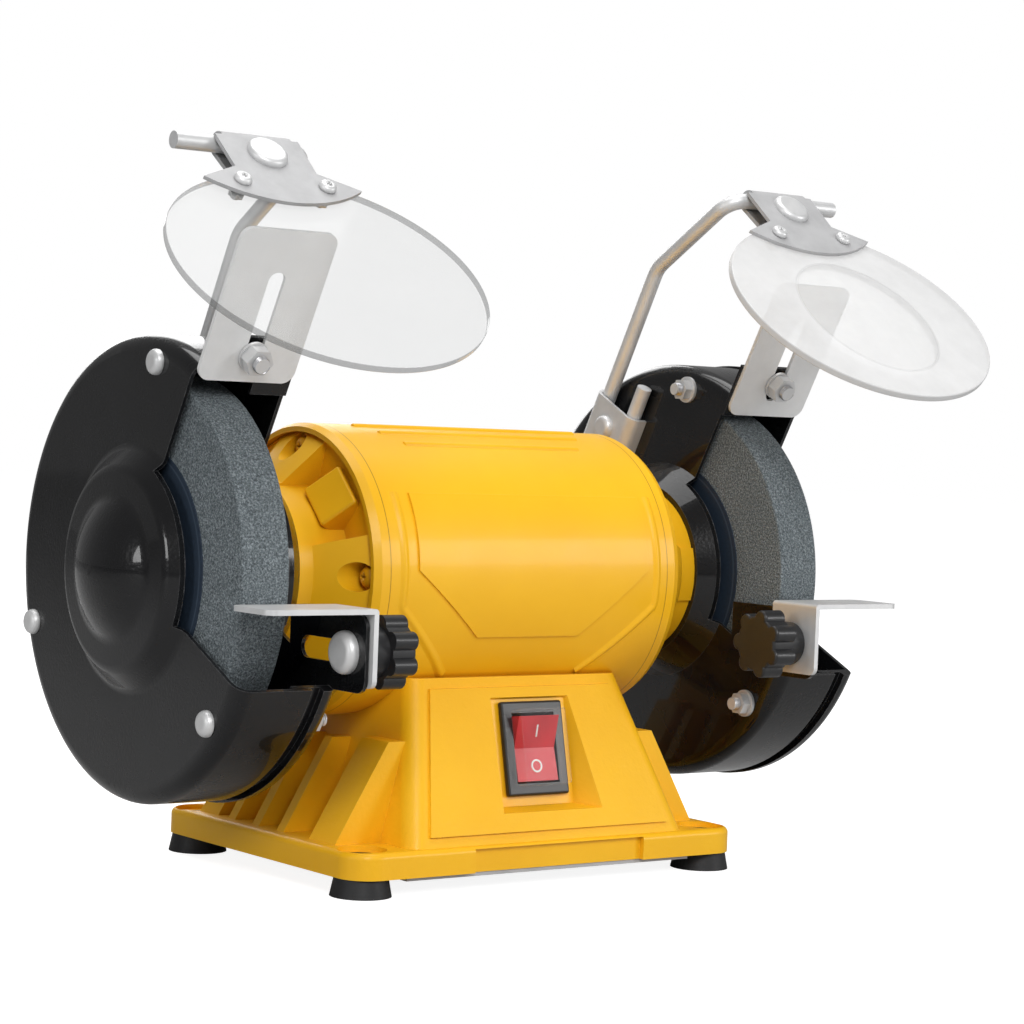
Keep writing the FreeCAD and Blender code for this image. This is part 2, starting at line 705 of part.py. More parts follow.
for name, middle, out in (("left", wheel_left, LEFT), ("right", wheel_right, RIGHT)):
    bore = bar_on_spindle(d.spindle_end_radius, -200, 200)
    disc = bar_on_spindle(d.wheel_radius, middle - half_wheel, middle + half_wheel)
    disc = rounded(disc, 0.8, lambda edge: True)
    node(f"{name}_wheel", cut(disc, bore))
    for face in (LEFT, RIGHT):
        near = middle + face * half_wheel
        far = near + face * d.label_thickness
        low, high = (near, far) if face > 0 else (far, near)
        labels.append(cut(bar_on_spindle(d.label_radius, low, high), bore))
        low, high = (far, far + d.wheel_flange_thickness) if face > 0 else (far - d.wheel_flange_thickness, far)
        rim_x = (high if face > 0 else low).value
        plate = rounded(bar_on_spindle(d.wheel_flange_radius, low, high), 2.0,
                        lambda edge: abs(edge.CenterOfMass.x - rim_x) < 0.01)
        flanges.append(cut(plate, bore))
    start = middle + out * (half_wheel + stack)
    start = start if out > 0 else start - d.spindle_nut_height
    nuts.append(cut(hexagon(d.spindle_nut_width, d.spindle_nut_height, (start, 0, spindle_z)), bore))
node("wheel_labels", group(*labels))
node("wheel_flanges", group(*flanges))
node("spindle_nuts", group(*nuts))

# Guards. A deep pan faces -X and a shallow pan with a rim nests in it, at both ends of the machine.

def centre_profile(face, out, domed):
    """Corners from the axis or the spindle hole to the dish's edge, outside then inside, for a pan facing out."""
    if domed:
        tall = d.dome_height - d.dome_foot
        ball = (d.dome_radius * d.dome_radius + tall * tall) / (2 * tall)
        within = d.dome_radius - 0.8
        ball_within = (within * within + tall * tall) / (2 * tall)
        outside = [(face + out * d.dome_height, 0, out * ball), (face + out * d.dome_foot, d.dome_radius),
                   (face + out * d.dome_step_height, d.dome_step_radius)]
        inside = [(face + out * (d.dome_step_height - d.metal), d.dome_step_radius - 0.8),
                  (face + out * (d.dome_foot - d.metal), within, -out * ball_within),
                  (face + out * (d.dome_height - d.metal), 0)]
    else:
        flat = face + out * d.dish_height
        outside = [(flat, d.spindle_hole_radius), (flat, d.dish_flat_radius)]
        inside = [(face + out * (d.dish_height - d.metal), d.dish_flat_radius - 0.8),
                  (face + out * (d.dish_height - d.metal), d.spindle_hole_radius)]
    outside.append((face, d.dish_radius))
    inside.insert(0, (face - out * d.metal, d.dish_radius - 0.8))
    return outside, inside


def circle_at(x, radius):
    """A test for a circular edge about the spindle."""
    return lambda edge: (edge.Curve.TypeId == "Part::GeomCircle" and abs(edge.Curve.Radius - radius) < 0.01
                         and abs(edge.CenterOfMass.x - x) < 0.01)


def round_rim(body, face, out, radius, corner):
    """Rounds a pan's edge, outside and inside the metal alike."""
    body = rounded(body, corner, circle_at(face.value, radius))
    metal = SIZES["metal"]
    return rounded(body, corner - metal, circle_at(face.value - out * metal, radius - metal))


def soften_dome(body, face, out):
    """Rounds the dome's step, outside and inside the metal alike."""
    metal = SIZES["metal"]
    stations = [(0, SIZES["dish_radius"], 4.0, 1), (SIZES["dome_step_height"], SIZES["dome_step_radius"], 5.0, -1),
                (SIZES["dome_foot"], SIZES["dome_radius"], 7.0, 1)]
    for height, radius, bend, hollow in stations:
        x = face.value + out * height
        body = rounded(body, bend, circle_at(x, radius))
        body = rounded(body, bend + hollow * metal, circle_at(x - out * metal, radius - 0.8))
    return body


def deep_pan(face, domed):
    """The pan that faces -X, with the long wall."""
    outside, inside = centre_profile(face, LEFT, domed)
    end = face + d.deep_wall
    wall = [(face, d.pan_radius), (end, d.pan_radius), (end, d.pan_radius - d.metal),
            (face + d.metal, d.pan_radius - d.metal)]
    body = turned(outside + wall + inside)
    if domed:
        body = soften_dome(body, face, LEFT)
    return round_rim(body, face, LEFT, SIZES["pan_radius"], SIZES["pan_corner"])


def shallow_pan(face, domed):
    """The pan that faces +X, with a short rim and a lip that nests in the deep pan."""
    outside, inside = centre_profile(face, RIGHT, domed)
    end = face - d.rim_depth
    nest = d.pan_radius - d.metal - d.nest_gap
    tip = end - 12
    wall = [(face, d.rim_radius), (end, d.rim_radius), (end, nest), (tip, nest), (tip, nest - d.metal),
            (face - d.metal, nest - d.metal)]
    body = turned(outside + wall + inside)
    if domed:
        body = soften_dome(body, face, RIGHT)
    return rounded(body, SIZES["rim_corner"], circle_at(face.value, SIZES["rim_radius"]))


def opening(low):
    """The open sector in front of the wheel, down to an angle below straight ahead."""
    top, down = forward(SIZES["opening_top"]), forward(SIZES["opening_top"] - 90)
    turn = FreeCAD.Rotation(top, down, X_AXIS, "ZXY")
    sector = cylinder(140, 400, (-200, 0, spindle_z), sweep=d.opening_top + low, turn=turn)
    return cut(sector, bar_on_spindle(d.opening_radius, -201, 201))


bolt_angles = [SIZES["guard_bolt_start"] + 120 * k for k in range(3)]
bolt_points = [on_wheel_plane(angle, d.guard_bolt_circle) for angle in bolt_angles]
bolt_holes = [cylinder(d.guard_bolt_radius, 400, (-200, y, z)) for y, z in bolt_points]
mount_holes = [cylinder(guard_screw_radius, 400, (-200, y, z)) for y, z in mount_points]
rest_slot_middle = 77.5
rest_slot_length = 39.0
slot_turn = FreeCAD.Rotation(Y_AXIS, Z_AXIS, X_AXIS, "ZXY")


def rest_slot(middle, length):
    """A level slot through the lug or the tool rest, in the machine's left half."""
    return padded(obround(length, d.slot_width), 40, (-d.guard_inner - 20, -middle, d.rest_bolt_z), slot_turn)


def lug():
    """The slotted ear that carries the left tool rest, in the plane of the inner pan."""
    ear_front = -d.lug_front - d.foot_centre_y
    ear_top = d.rest_top - d.rest_metal - 0.5
    ear = box((-d.guard_inner - d.metal, -d.guard_inner), (-d.lug_front, -50), (spindle_z - 39, ear_top))
    ear = rounded(ear, 5.0, lambda edge: runs_along(X_AXIS)(edge) and edge.CenterOfMass.y < ear_front.value + 0.1)
    return ear


def spark_frame():
    """Axes along the opening's upper edge: u along X, v outward from the spindle, w forward off the edge."""
    out, ahead = forward(SIZES["opening_top"]), forward(SIZES["opening_top"] - 90)
    turn = FreeCAD.Rotation(X_AXIS, out, X_AXIS.cross(out), "ZXY")
    return out, ahead, turn


def spark_plate_at(corners, thickness, reach, offset):
    """A plate along the upper edge of the opening, with its back a set distance ahead of the edge."""
    out, ahead, turn = spark_frame()
    base = out * reach + ahead * offset
    return padded(corners, thickness, (0, base.y, spindle_z + base.z), turn)


tab_gap = 0.0
inner = -d.guard_inner


def tab():
    """The folded flange on the left inner pan, with the ear that holds the spark arrestor."""
    ear = [(inner, 78), (inner, 102), (inner - 33, 102), (inner - 33, 91.5), (inner - 16, 91.5), (inner - 16, 78)]
    return spark_plate_at(ear, d.metal, 0, tab_gap)


def spark_bar(radius, w0, w1):
    """A round bar across the tab at the spark arrestor's bolt."""
    out, ahead, turn = spark_frame()
    base = out * SIZES["spark_bolt_reach"] + ahead * w0
    item = doc.addObject("Part::Cylinder", "bar")
    bind(item, Radius=radius, Height=w1 - w0)
    along = FreeCAD.Rotation(X_AXIS, ahead.cross(X_AXIS), ahead, "ZXY")
    return place(item, (-(d.guard_outer + d.guard_inner) / 2, base.y, spindle_z + base.z), along)


tab_front = tab_gap + SIZES["metal"]
plate_front = tab_front + SIZES["slide_gap"] + SIZES["spark_metal"]
fittings = fuse(cut(lug(), rest_slot(rest_slot_middle, rest_slot_length)), cut(tab(), spark_bar(3.0, -5, 8)))
open_inner = opening(d.opening_bottom)

node("left_guard_cover", cut(deep_pan(-d.guard_outer, True), opening(d.opening_bottom), *bolt_holes))
left_inner = cut(shallow_pan(-d.guard_inner, False), open_inner, *bolt_holes, *mount_holes)
node("left_guard_inner", fuse(left_inner, fittings))
right_inner = cut(deep_pan(d.guard_inner, False), open_inner, *bolt_holes, *mount_holes)
node("right_guard_inner", fuse(right_inner, mirrored(fittings)))
node("right_guard_cover", cut(shallow_pan(d.guard_outer, True), opening(d.opening_bottom), *bolt_holes))

guard_bolts, guard_nuts, mount_screws = [], [], []
for side in (LEFT, RIGHT):
    for y, z in bolt_points:
        reach = d.guard_outer - d.guard_inner + 8
        guard_bolts.append(pan_head(d.head_radius, d.head_height, d.guard_bolt_radius, reach,
                                    (side * d.guard_outer, y, z), side))
        near = side * d.guard_inner
        start = near - d.nut_height if side > 0 else near
        collar = near - 1.2 if side > 0 else near
        hole = cylinder(d.guard_bolt_radius, 20, (near - 10, y, z))
        guard_nuts.append(cut(fuse(hexagon(d.nut_width, d.nut_height, (start, y, z)),
                                   cylinder(5.6, 1.2, (collar, y, z))), hole))
    for y, z in mount_points:
        seat = side * (d.guard_inner - d.dish_height + d.metal)
        mount_screws.append(pan_head(4.0, 2.4, guard_screw_radius, 9, (seat, y, z), side))
node("guard_bolts", group(*guard_bolts))
node("guard_nuts", group(*guard_nuts))
node("guard_mount_screws", group(*mount_screws))

# Spark arrestors

spark_left = -(d.guard_outer + d.guard_inner) / 2
half_spark = d.spark_width / 2


def spark_plate(low):
    """A slotted plate in front of the guard's tab, its lower edge a set distance from the spindle."""
    r = 5.0
    w, tall = half_spark, d.spark_length
    corners = [(spark_left - w + r, 0), (spark_left + w - r, 0, r), (spark_left + w, r),
               (spark_left + w, tall - r, r), (spark_left + w - r, tall), (spark_left - w + r, tall, r),
               (spark_left - w, tall - r), (spark_left - w, r, r)]
    offset = tab_front + SIZES["slide_gap"]
    plate = spark_plate_at(corners, d.spark_metal, low.value, offset)
    out, ahead, turn = spark_frame()
    middle = out * (low.value + 26.5) + ahead * (offset - 10)
    slot = padded(obround(38, d.spark_slot), 20, (spark_left, middle.y, spindle_z + middle.z),
                  turn.multiply(FreeCAD.Rotation(Z_AXIS, 90)))
    return cut(plate, slot)


node("left_spark_plate", spark_plate(d.spark_low_left))
node("right_spark_plate", mirrored(spark_plate(d.spark_low_right)))
bolt = fuse(spark_bar(4.6, tab_gap - 3.4, tab_gap), spark_bar(3.0, tab_gap - 1, plate_front + 8.5))
out, ahead, _ = spark_frame()
nut_base = out * SIZES["spark_bolt_reach"] + ahead * (plate_front + 1.3)
nut = hexagon(10, 5, (spark_left, nut_base.y, spindle_z + nut_base.z),
              FreeCAD.Rotation(X_AXIS, ahead.cross(X_AXIS), ahead, "ZXY"))
washer = spark_bar(6.0, plate_front + 0.1, plate_front + 1.3)
nut = cut(fuse(nut, washer), spark_bar(3.0, -5, 20))
node("spark_bolts", group(bolt, mirrored(bolt)))
node("spark_nuts", group(nut, mirrored(nut)))

# Tool rests

flange_back = inner + d.slide_gap
flange_front = flange_back + d.rest_metal
rest_end = flange_front - d.rest_reach
drop_foot = d.rest_top - d.rest_drop
top = box((rest_end, flange_front), (-d.rest_front, -d.rest_back), (d.rest_top - d.rest_metal, d.rest_top))
top = rounded(top, 4.0, lambda edge: runs_along(Z_AXIS)(edge) and edge.CenterOfMass.x < rest_end.value + 0.1)
drop = box((flange_back, flange_front), (-d.rest_front, -d.rest_back), (drop_foot, d.rest_top))
drop = rounded(drop, 3.0, lambda edge: runs_along(X_AXIS)(edge) and edge.CenterOfMass.z < drop_foot.value + 0.1)
rest = rounded(fuse(top, drop), 1.5, lambda edge: runs_along(Y_AXIS)(edge)
               and abs(edge.CenterOfMass.x - flange_front.value) < 0.01
               and edge.CenterOfMass.z > d.rest_top.value - 0.1)
rest = cut(rest, rest_slot(89, 15))
node("left_tool_rest", rest)
node("right_tool_rest", mirrored(rest))
bolt_y = -d.rest_bolt_y
head_back = inner - d.metal - d.slide_gap
head = rounded(cylinder(8.0, 4.2, (head_back - 4.2, bolt_y, d.rest_bolt_z)), 3.0,
               lambda edge: edge.CenterOfMass.x < head_back.value - 4)
neck = box((head_back - 0.5, flange_back + 1), (bolt_y - 3.4, bolt_y + 3.4),
           (d.rest_bolt_z - 3.4, d.rest_bolt_z + 3.4))
rest_bolt = fuse(head, neck, cylinder(d.rest_bolt_radius, 22, (head_back - 1, bolt_y, d.rest_bolt_z)))
node("left_rest_bolt", rest_bolt)
node("right_rest_bolt", mirrored(rest_bolt))
knob_start = flange_front + 0.1
knob_length, lobe_start = 19.5, 9.0
lobes = [cylinder(11.2, knob_length - lobe_start, (knob_start + lobe_start, bolt_y, d.rest_bolt_z))]
for k in range(7):
    angle = 2 * math.pi * k / 7
    lobes.append(cylinder(3.6, knob_length - lobe_start, (knob_start + lobe_start, bolt_y + 10.4 * math.cos(angle),
                                                          d.rest_bolt_z + 10.4 * math.sin(angle))))
grip = rounded(fuse(*lobes), 1.2, lambda edge: edge.CenterOfMass.x > knob_start.value + knob_length - 0.1)
hub = cone(8.6, 9.6, lobe_start + 1, (knob_start, bolt_y, d.rest_bolt_z))
knob = cut(fuse(grip, hub), cylinder(d.rest_bolt_radius + 0.05, 18.4, (knob_start - 1, bolt_y, d.rest_bolt_z)))
node("left_rest_knob", knob)
node("right_rest_knob", mirrored(knob))

# Eye shields

rod_lean = math.radians(SIZES["rod_lean"])
lean_up = FreeCAD.Vector(0, -math.sin(rod_lean), math.cos(rod_lean))
lean_front = FreeCAD.Vector(0, -lean_up.z, lean_up.y)
rod_side, spindle_up = d.rod_side.value, SIZES["spindle_height"]
leg_foot = FreeCAD.Vector(-rod_side, 31.5, spindle_up + 78.9)


def leg_point(v, w, depth=0.0):
    """A point measured from the long leg: v toward the front leg, w up the legs, depth toward the motor."""
    return leg_foot + lean_front * v + lean_up * w + FreeCAD.Vector(depth, 0, 0)


def bent_rod():
    """The left shield rod: a short leg, a hairpin, the long leg, a forward bend and the level end."""
    hairpin, elbow, corner = SIZES["rod_pitch"] / 2, 14.0, 9.0
    shield = FreeCAD.Vector(-rod_side, SIZES["shield_y"], d.shield_z.value)
    knee = FreeCAD.Vector(-rod_side, 4.2, spindle_up + 131.1)
    end = FreeCAD.Vector(-SIZES["rod_end"], SIZES["shield_y"], d.shield_z.value)
    bottom = -36.5
    here = leg_point(0, bottom)
    turn = Part.Arc(leg_point(2 * hairpin, bottom), leg_point(hairpin, bottom - hairpin), here)
    edges = [Part.makeLine(leg_point(2 * hairpin, 10), leg_point(2 * hairpin, bottom)), turn.toShape()]
    for point, following, radius in ((knee, shield, elbow), (shield, end, corner)):
        arrive, leave = (point - here).normalize(), (following - point).normalize()
        half = arrive.getAngle(leave) / 2
        back = radius * math.tan(half)
        start, stop = point - arrive * back, point + leave * back
        towards = (leave - arrive).normalize()
        centre = point + towards * (radius / math.cos(half))
        edges.append(Part.makeLine(here, start))
        edges.append(Part.Arc(start, centre - towards * radius, stop).toShape())
        here = stop
    edges.append(Part.makeLine(here, end))
    spine = Part.Wire(edges)
    section = Part.Wire(Part.makeCircle(SIZES["rod_radius"], leg_point(2 * hairpin, 10), lean_up))
    item = doc.addObject("Part::Feature", "rod")
    item.Shape = spine.makePipeShell([section], True, True)
    return place(item, (0, 0, 0))


def rod_clamp():
    """The saddle that holds both legs of the left rod against the guard, with its screw hole."""
    inside = SIZES["rod_radius"] + SIZES["clamp_gap"]
    wall = SIZES["metal"]
    face = SIZES["guard_inner"] - rod_side
    turn = FreeCAD.Rotation(lean_front, X_AXIS, lean_front.cross(X_AXIS), "ZXY")

    def saddle(radius, foot_depth, low, length):
        pitch = SIZES["rod_pitch"]
        corners = [(-radius, -foot_depth), (pitch + radius, -foot_depth), (pitch + radius, 0, radius),
                   (pitch, radius), (0, radius, radius), (-radius, 0)]
        start = leg_point(0, low)
        return padded(corners, length, (start.x, start.y, start.z), turn)

    shell = cut(saddle(inside + wall, face, -30, 26), saddle(inside, face + 1, -35, 40))
    screw_at = leg_point(SIZES["rod_pitch"] / 2, -15)
    return cut(shell, cylinder(2.5, 20, (screw_at.x - 5, screw_at.y, screw_at.z))), screw_at


rod = bent_rod()
node("left_shield_rod", rod)
node("right_shield_rod", mirrored(rod))
clamp, screw_at = rod_clamp()
node("left_rod_clamp", clamp)
node("right_rod_clamp", mirrored(clamp))
clamp_top = -d.rod_side + d.rod_radius + d.clamp_gap + d.metal
clamp_screw = pan_head(5.2, 3.0, 2.4, 8.6, (clamp_top, screw_at.y, screw_at.z), RIGHT)
node("rod_clamp_screws", group(clamp_screw, mirrored(clamp_screw)))

tilt = math.radians(SIZES["shield_tilt"])
slope = FreeCAD.Vector(0, -math.cos(tilt), -math.sin(tilt))
above = FreeCAD.Vector(0, -math.sin(tilt), math.cos(tilt))
shield_turn = FreeCAD.Rotation(X_AXIS, slope.negative(), above, "ZXY")
shield_pivot = FreeCAD.Vector(-SIZES["shield_x"], SIZES["shield_y"], d.shield_z.value)


def shield_at(u, v, w):
    """A point of the left shield: u along X, v down its slope from the rod, w off its face."""
    point = shield_pivot + FreeCAD.Vector(u, 0, 0) + slope * v + above * w
    return (point.x, point.y, point.z)


def shield_plate(corners, thickness, w):
    """A plate in the shield's plane with corners given as (u, v)."""
    outline = [(c[0], -as_size(c[1])) + tuple(c[2:]) for c in corners]
    return padded(outline, thickness, shield_at(0, 0, w), shield_turn)


def shield_bar(radius, u, v, w0, w1):
    """A round bar across the shield's plane."""
    item = doc.addObject("Part::Cylinder", "bar")
    bind(item, Radius=radius, Height=w1 - w0)
    return place(item, shield_at(u, v, w0), shield_turn)


knuckle_in = SIZES["rod_radius"] + SIZES["knuckle_gap"]
knuckle_out = knuckle_in + SIZES["metal"]
wing_v, tip_v, wing_u, arc_v = 19.0, 27.0, 34.0, 38.0
screw_u, screw_v = 18.2, 27.5
wing_arc = (wing_u ** 2 + (arc_v - tip_v) ** 2) / (2 * (arc_v - tip_v))


def bracket():
    """The folded bracket: winged top leaf, a wrap around the rod and a short lower leaf."""
    leaf = shield_plate([(-18, 0), (18, 0), (17.6, wing_v), (wing_u, tip_v, -wing_arc), (-wing_u, tip_v),
                         (-17.6, wing_v)], d.metal, knuckle_in)
    lower = shield_plate([(-15, 0), (15, 0), (13, 17), (-13, 17)], d.metal, -knuckle_out)
    wrap = cylinder(knuckle_out, 30, (shield_pivot.x - 15, shield_pivot.y, shield_pivot.z))
    behind = doc.addObject("Part::Box", "block")
    bind(behind, Length=60, Width=30, Height=30)
    place(behind, shield_at(-30, 0, -15), shield_turn)
    wrap = common(wrap, behind)
    whole = fuse(leaf, lower, wrap)
    bore = cylinder(knuckle_in, 80, (shield_pivot.x - 40, shield_pivot.y, shield_pivot.z))
    holes = [shield_bar(1.6, u, screw_v, 0, 10) for u in (-screw_u, screw_u)]
    return cut(whole, bore, shield_bar(3.0, 0, 10, -10, 10), *holes)


lens_top = knuckle_in - 0.05


def lens(magnifier):
    """An oval lens under the bracket's wings, flat or with a round magnifier in it."""
    ellipse = doc.addObject("Part::Ellipse", "oval")
    bind(ellipse, MajorRadius=d.lens_major, MinorRadius=d.lens_minor)
    place(ellipse, shield_at(0, SIZES["lens_centre"], lens_top - SIZES["lens_thickness"]), shield_turn)
    item = doc.addObject("Part::Extrusion", "lens")
    item.Base = ellipse
    item.DirMode = "Custom"
    item.Dir = above
    item.Solid = True
    bind(item, LengthFwd=d.lens_thickness)
    holes = [shield_bar(1.6, u, screw_v, -5, 10) for u in (-screw_u, screw_u)]
    item = rounded(item, 0.6, lambda edge: True)
    if magnifier:
        rise, radius = SIZES["magnifier_rise"], SIZES["magnifier_radius"]
        ball_radius = (radius ** 2 + rise ** 2) / (2 * rise)
        ball = doc.addObject("Part::Sphere", "ball")
        bind(ball, Radius=ball_radius)
        place(ball, shield_at(0, SIZES["lens_centre"] + 4, lens_top + rise - ball_radius))
        keep = shield_bar(d.magnifier_radius, 0, SIZES["lens_centre"] + 4, lens_top - 1.5, lens_top + 20)
        item = fuse(item, common(ball, keep))
    return cut(item, *holes)


def lens_screws():
    """Two pan-head screws with nuts that hold the lens to the bracket."""
    screws = []
    for u in (-screw_u, screw_u):
        low = lens_top - SIZES["lens_thickness"]
        head = rounded(shield_bar(3.4, u, screw_v, knuckle_out, knuckle_out + 2.4), 1.6,
                       close_to(shield_at(u, screw_v, knuckle_out + 2.4)))
        nut = hexagon(5.5, 2.4, shield_at(u, screw_v, low - 2.4), shield_turn)
        screws.append(fuse(head, shield_bar(1.5, u, screw_v, low - 3.6, knuckle_out + 1), nut))
    return group(*screws)


def bracket_bolt():
    """The low round-headed bolt and nut that draw the bracket's leaves onto the rod."""
    head = rounded(shield_bar(8.0, 0, 10, knuckle_out, knuckle_out + 2.6), 2.0,
                   close_to(shield_at(0, 10, knuckle_out + 2.6)))
    nut = hexagon(10, 5, shield_at(0, 10, -knuckle_out - 5), shield_turn)
    return fuse(head, shield_bar(2.9, 0, 10, -knuckle_out - 7, knuckle_out + 1), nut)


shield_pieces = (("shield_bracket", bracket()), ("bracket_bolt", bracket_bolt()), ("lens_screws", lens_screws()))
for label, piece in shield_pieces:
    node(f"left_{label}", piece)
    node(f"right_{label}", mirrored(piece))
node("left_lens", lens(False))
node("right_lens", mirrored(lens(True)))

doc.recompute()
for item in doc.Objects:
    if "Invalid" in item.State or "Error" in item.State:
        raise RuntimeError(f"{item.Name} ({item.Label}) did not build: {item.State}")
os.makedirs("parts", exist_ok=True)
for label, item in nodes.items():
    shape = item.Shape
    if shape.isNull() or not shape.isValid() or not shape.Solids:
        raise RuntimeError(f"{label} is not a valid solid")
    shape.exportStep(f"parts/{label}.step")
    print(f"{label}: {len(shape.Solids)} solids, {shape.Volume / 1000:.2f} cm3")
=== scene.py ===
import json
import logging
import math
from abc import ABC, abstractmethod
from collections.abc import Iterator
from contextlib import contextmanager
from dataclasses import dataclass, field
from enum import Enum

import bpy
from mathutils import Matrix, Vector

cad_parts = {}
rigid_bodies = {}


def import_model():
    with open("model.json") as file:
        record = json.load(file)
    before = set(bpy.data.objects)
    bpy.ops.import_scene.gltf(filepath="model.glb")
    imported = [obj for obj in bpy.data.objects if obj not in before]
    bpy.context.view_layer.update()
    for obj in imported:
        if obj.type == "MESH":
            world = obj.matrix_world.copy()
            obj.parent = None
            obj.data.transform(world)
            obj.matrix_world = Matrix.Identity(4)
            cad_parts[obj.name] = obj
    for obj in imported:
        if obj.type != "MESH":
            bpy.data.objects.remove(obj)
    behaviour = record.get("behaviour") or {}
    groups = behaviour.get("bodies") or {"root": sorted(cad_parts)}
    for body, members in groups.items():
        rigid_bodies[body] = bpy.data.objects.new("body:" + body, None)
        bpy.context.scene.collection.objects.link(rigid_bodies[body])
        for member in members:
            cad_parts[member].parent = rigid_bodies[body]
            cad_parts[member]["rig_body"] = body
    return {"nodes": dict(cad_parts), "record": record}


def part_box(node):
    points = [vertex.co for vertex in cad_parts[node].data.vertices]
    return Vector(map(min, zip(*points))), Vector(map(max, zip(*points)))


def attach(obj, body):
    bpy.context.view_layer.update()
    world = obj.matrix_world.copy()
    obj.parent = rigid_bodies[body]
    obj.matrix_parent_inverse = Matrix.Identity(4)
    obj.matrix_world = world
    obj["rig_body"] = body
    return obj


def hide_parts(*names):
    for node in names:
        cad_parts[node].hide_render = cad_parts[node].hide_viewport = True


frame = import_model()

LOG = logging.getLogger("bench_grinder")
Colour = tuple[float, float, float, float]
Point = tuple[float, float, float]

MM = 0.001
SPINDLE_Y = 4.15
SPINDLE_Z = 119.4
SPINDLE = Vector((0.0, SPINDLE_Y, SPINDLE_Z)) * MM
SHIELD_LEAN = math.radians(41.4)
SHIELD_NORMAL = (0.0, -math.sin(SHIELD_LEAN), math.cos(SHIELD_LEAN))
TEST_RAYS = 6
CUT_WELD = 0.002 * MM
THREAD_WELD = 0.001 * MM


class Side(Enum):
    """The two ends of the machine, with the sign of X at each."""

    LEFT = -1
    RIGHT = 1

    def node(self, name: str) -> str:
        """Name of a node that exists at both ends.

        Args:
            name: the name without its end.

        Returns:
            The full node name.
        """
        return f"{self.name.lower()}_{name}"


class Pattern(Enum):
    """How a texture's grain lies on a surface."""

    EVEN = (1.0, 1.0, 1.0)
    ALONG_X = (0.06, 1.0, 1.0)
    ALONG_Z = (1.0, 1.0, 0.08)


def toned(colour: Colour, factor: float, lift: float = 0.0) -> Colour:
    """Makes a lighter or darker tone of a colour.

    Args:
        colour: the colour.
        factor: what its parts are multiplied by.
        lift: what is then added to them.

    Returns:
        The tone, opaque.
    """
    red, green, blue = (min(1.0, part * factor + lift) for part in colour[:3])
    return red, green, blue, 1.0


def grey(value: float) -> Colour:
    """Makes an opaque neutral grey.

    Args:
        value: its brightness.

    Returns:
        The colour.
    """
    return value, value, value, 1.0


def about_spindle(radius: float, degrees: float) -> tuple[float, float]:
    """A point on a circle about the spindle.

    Args:
        radius: the circle's radius in mm.
        degrees: the angle from +Y towards +Z.

    Returns:
        Its Y and Z in mm.
    """
    angle = math.radians(degrees)
    return SPINDLE_Y + radius * math.cos(angle), SPINDLE_Z + radius * math.sin(angle)


@contextmanager
def editing() -> Iterator[None]:
    """Opens the active piece for editing with all of it selected, and closes it again.

    Yields:
        Nothing.
    """
    bpy.ops.object.mode_set(mode="EDIT")
    bpy.ops.mesh.select_all(action="SELECT")
    yield
    bpy.ops.object.mode_set(mode="OBJECT")


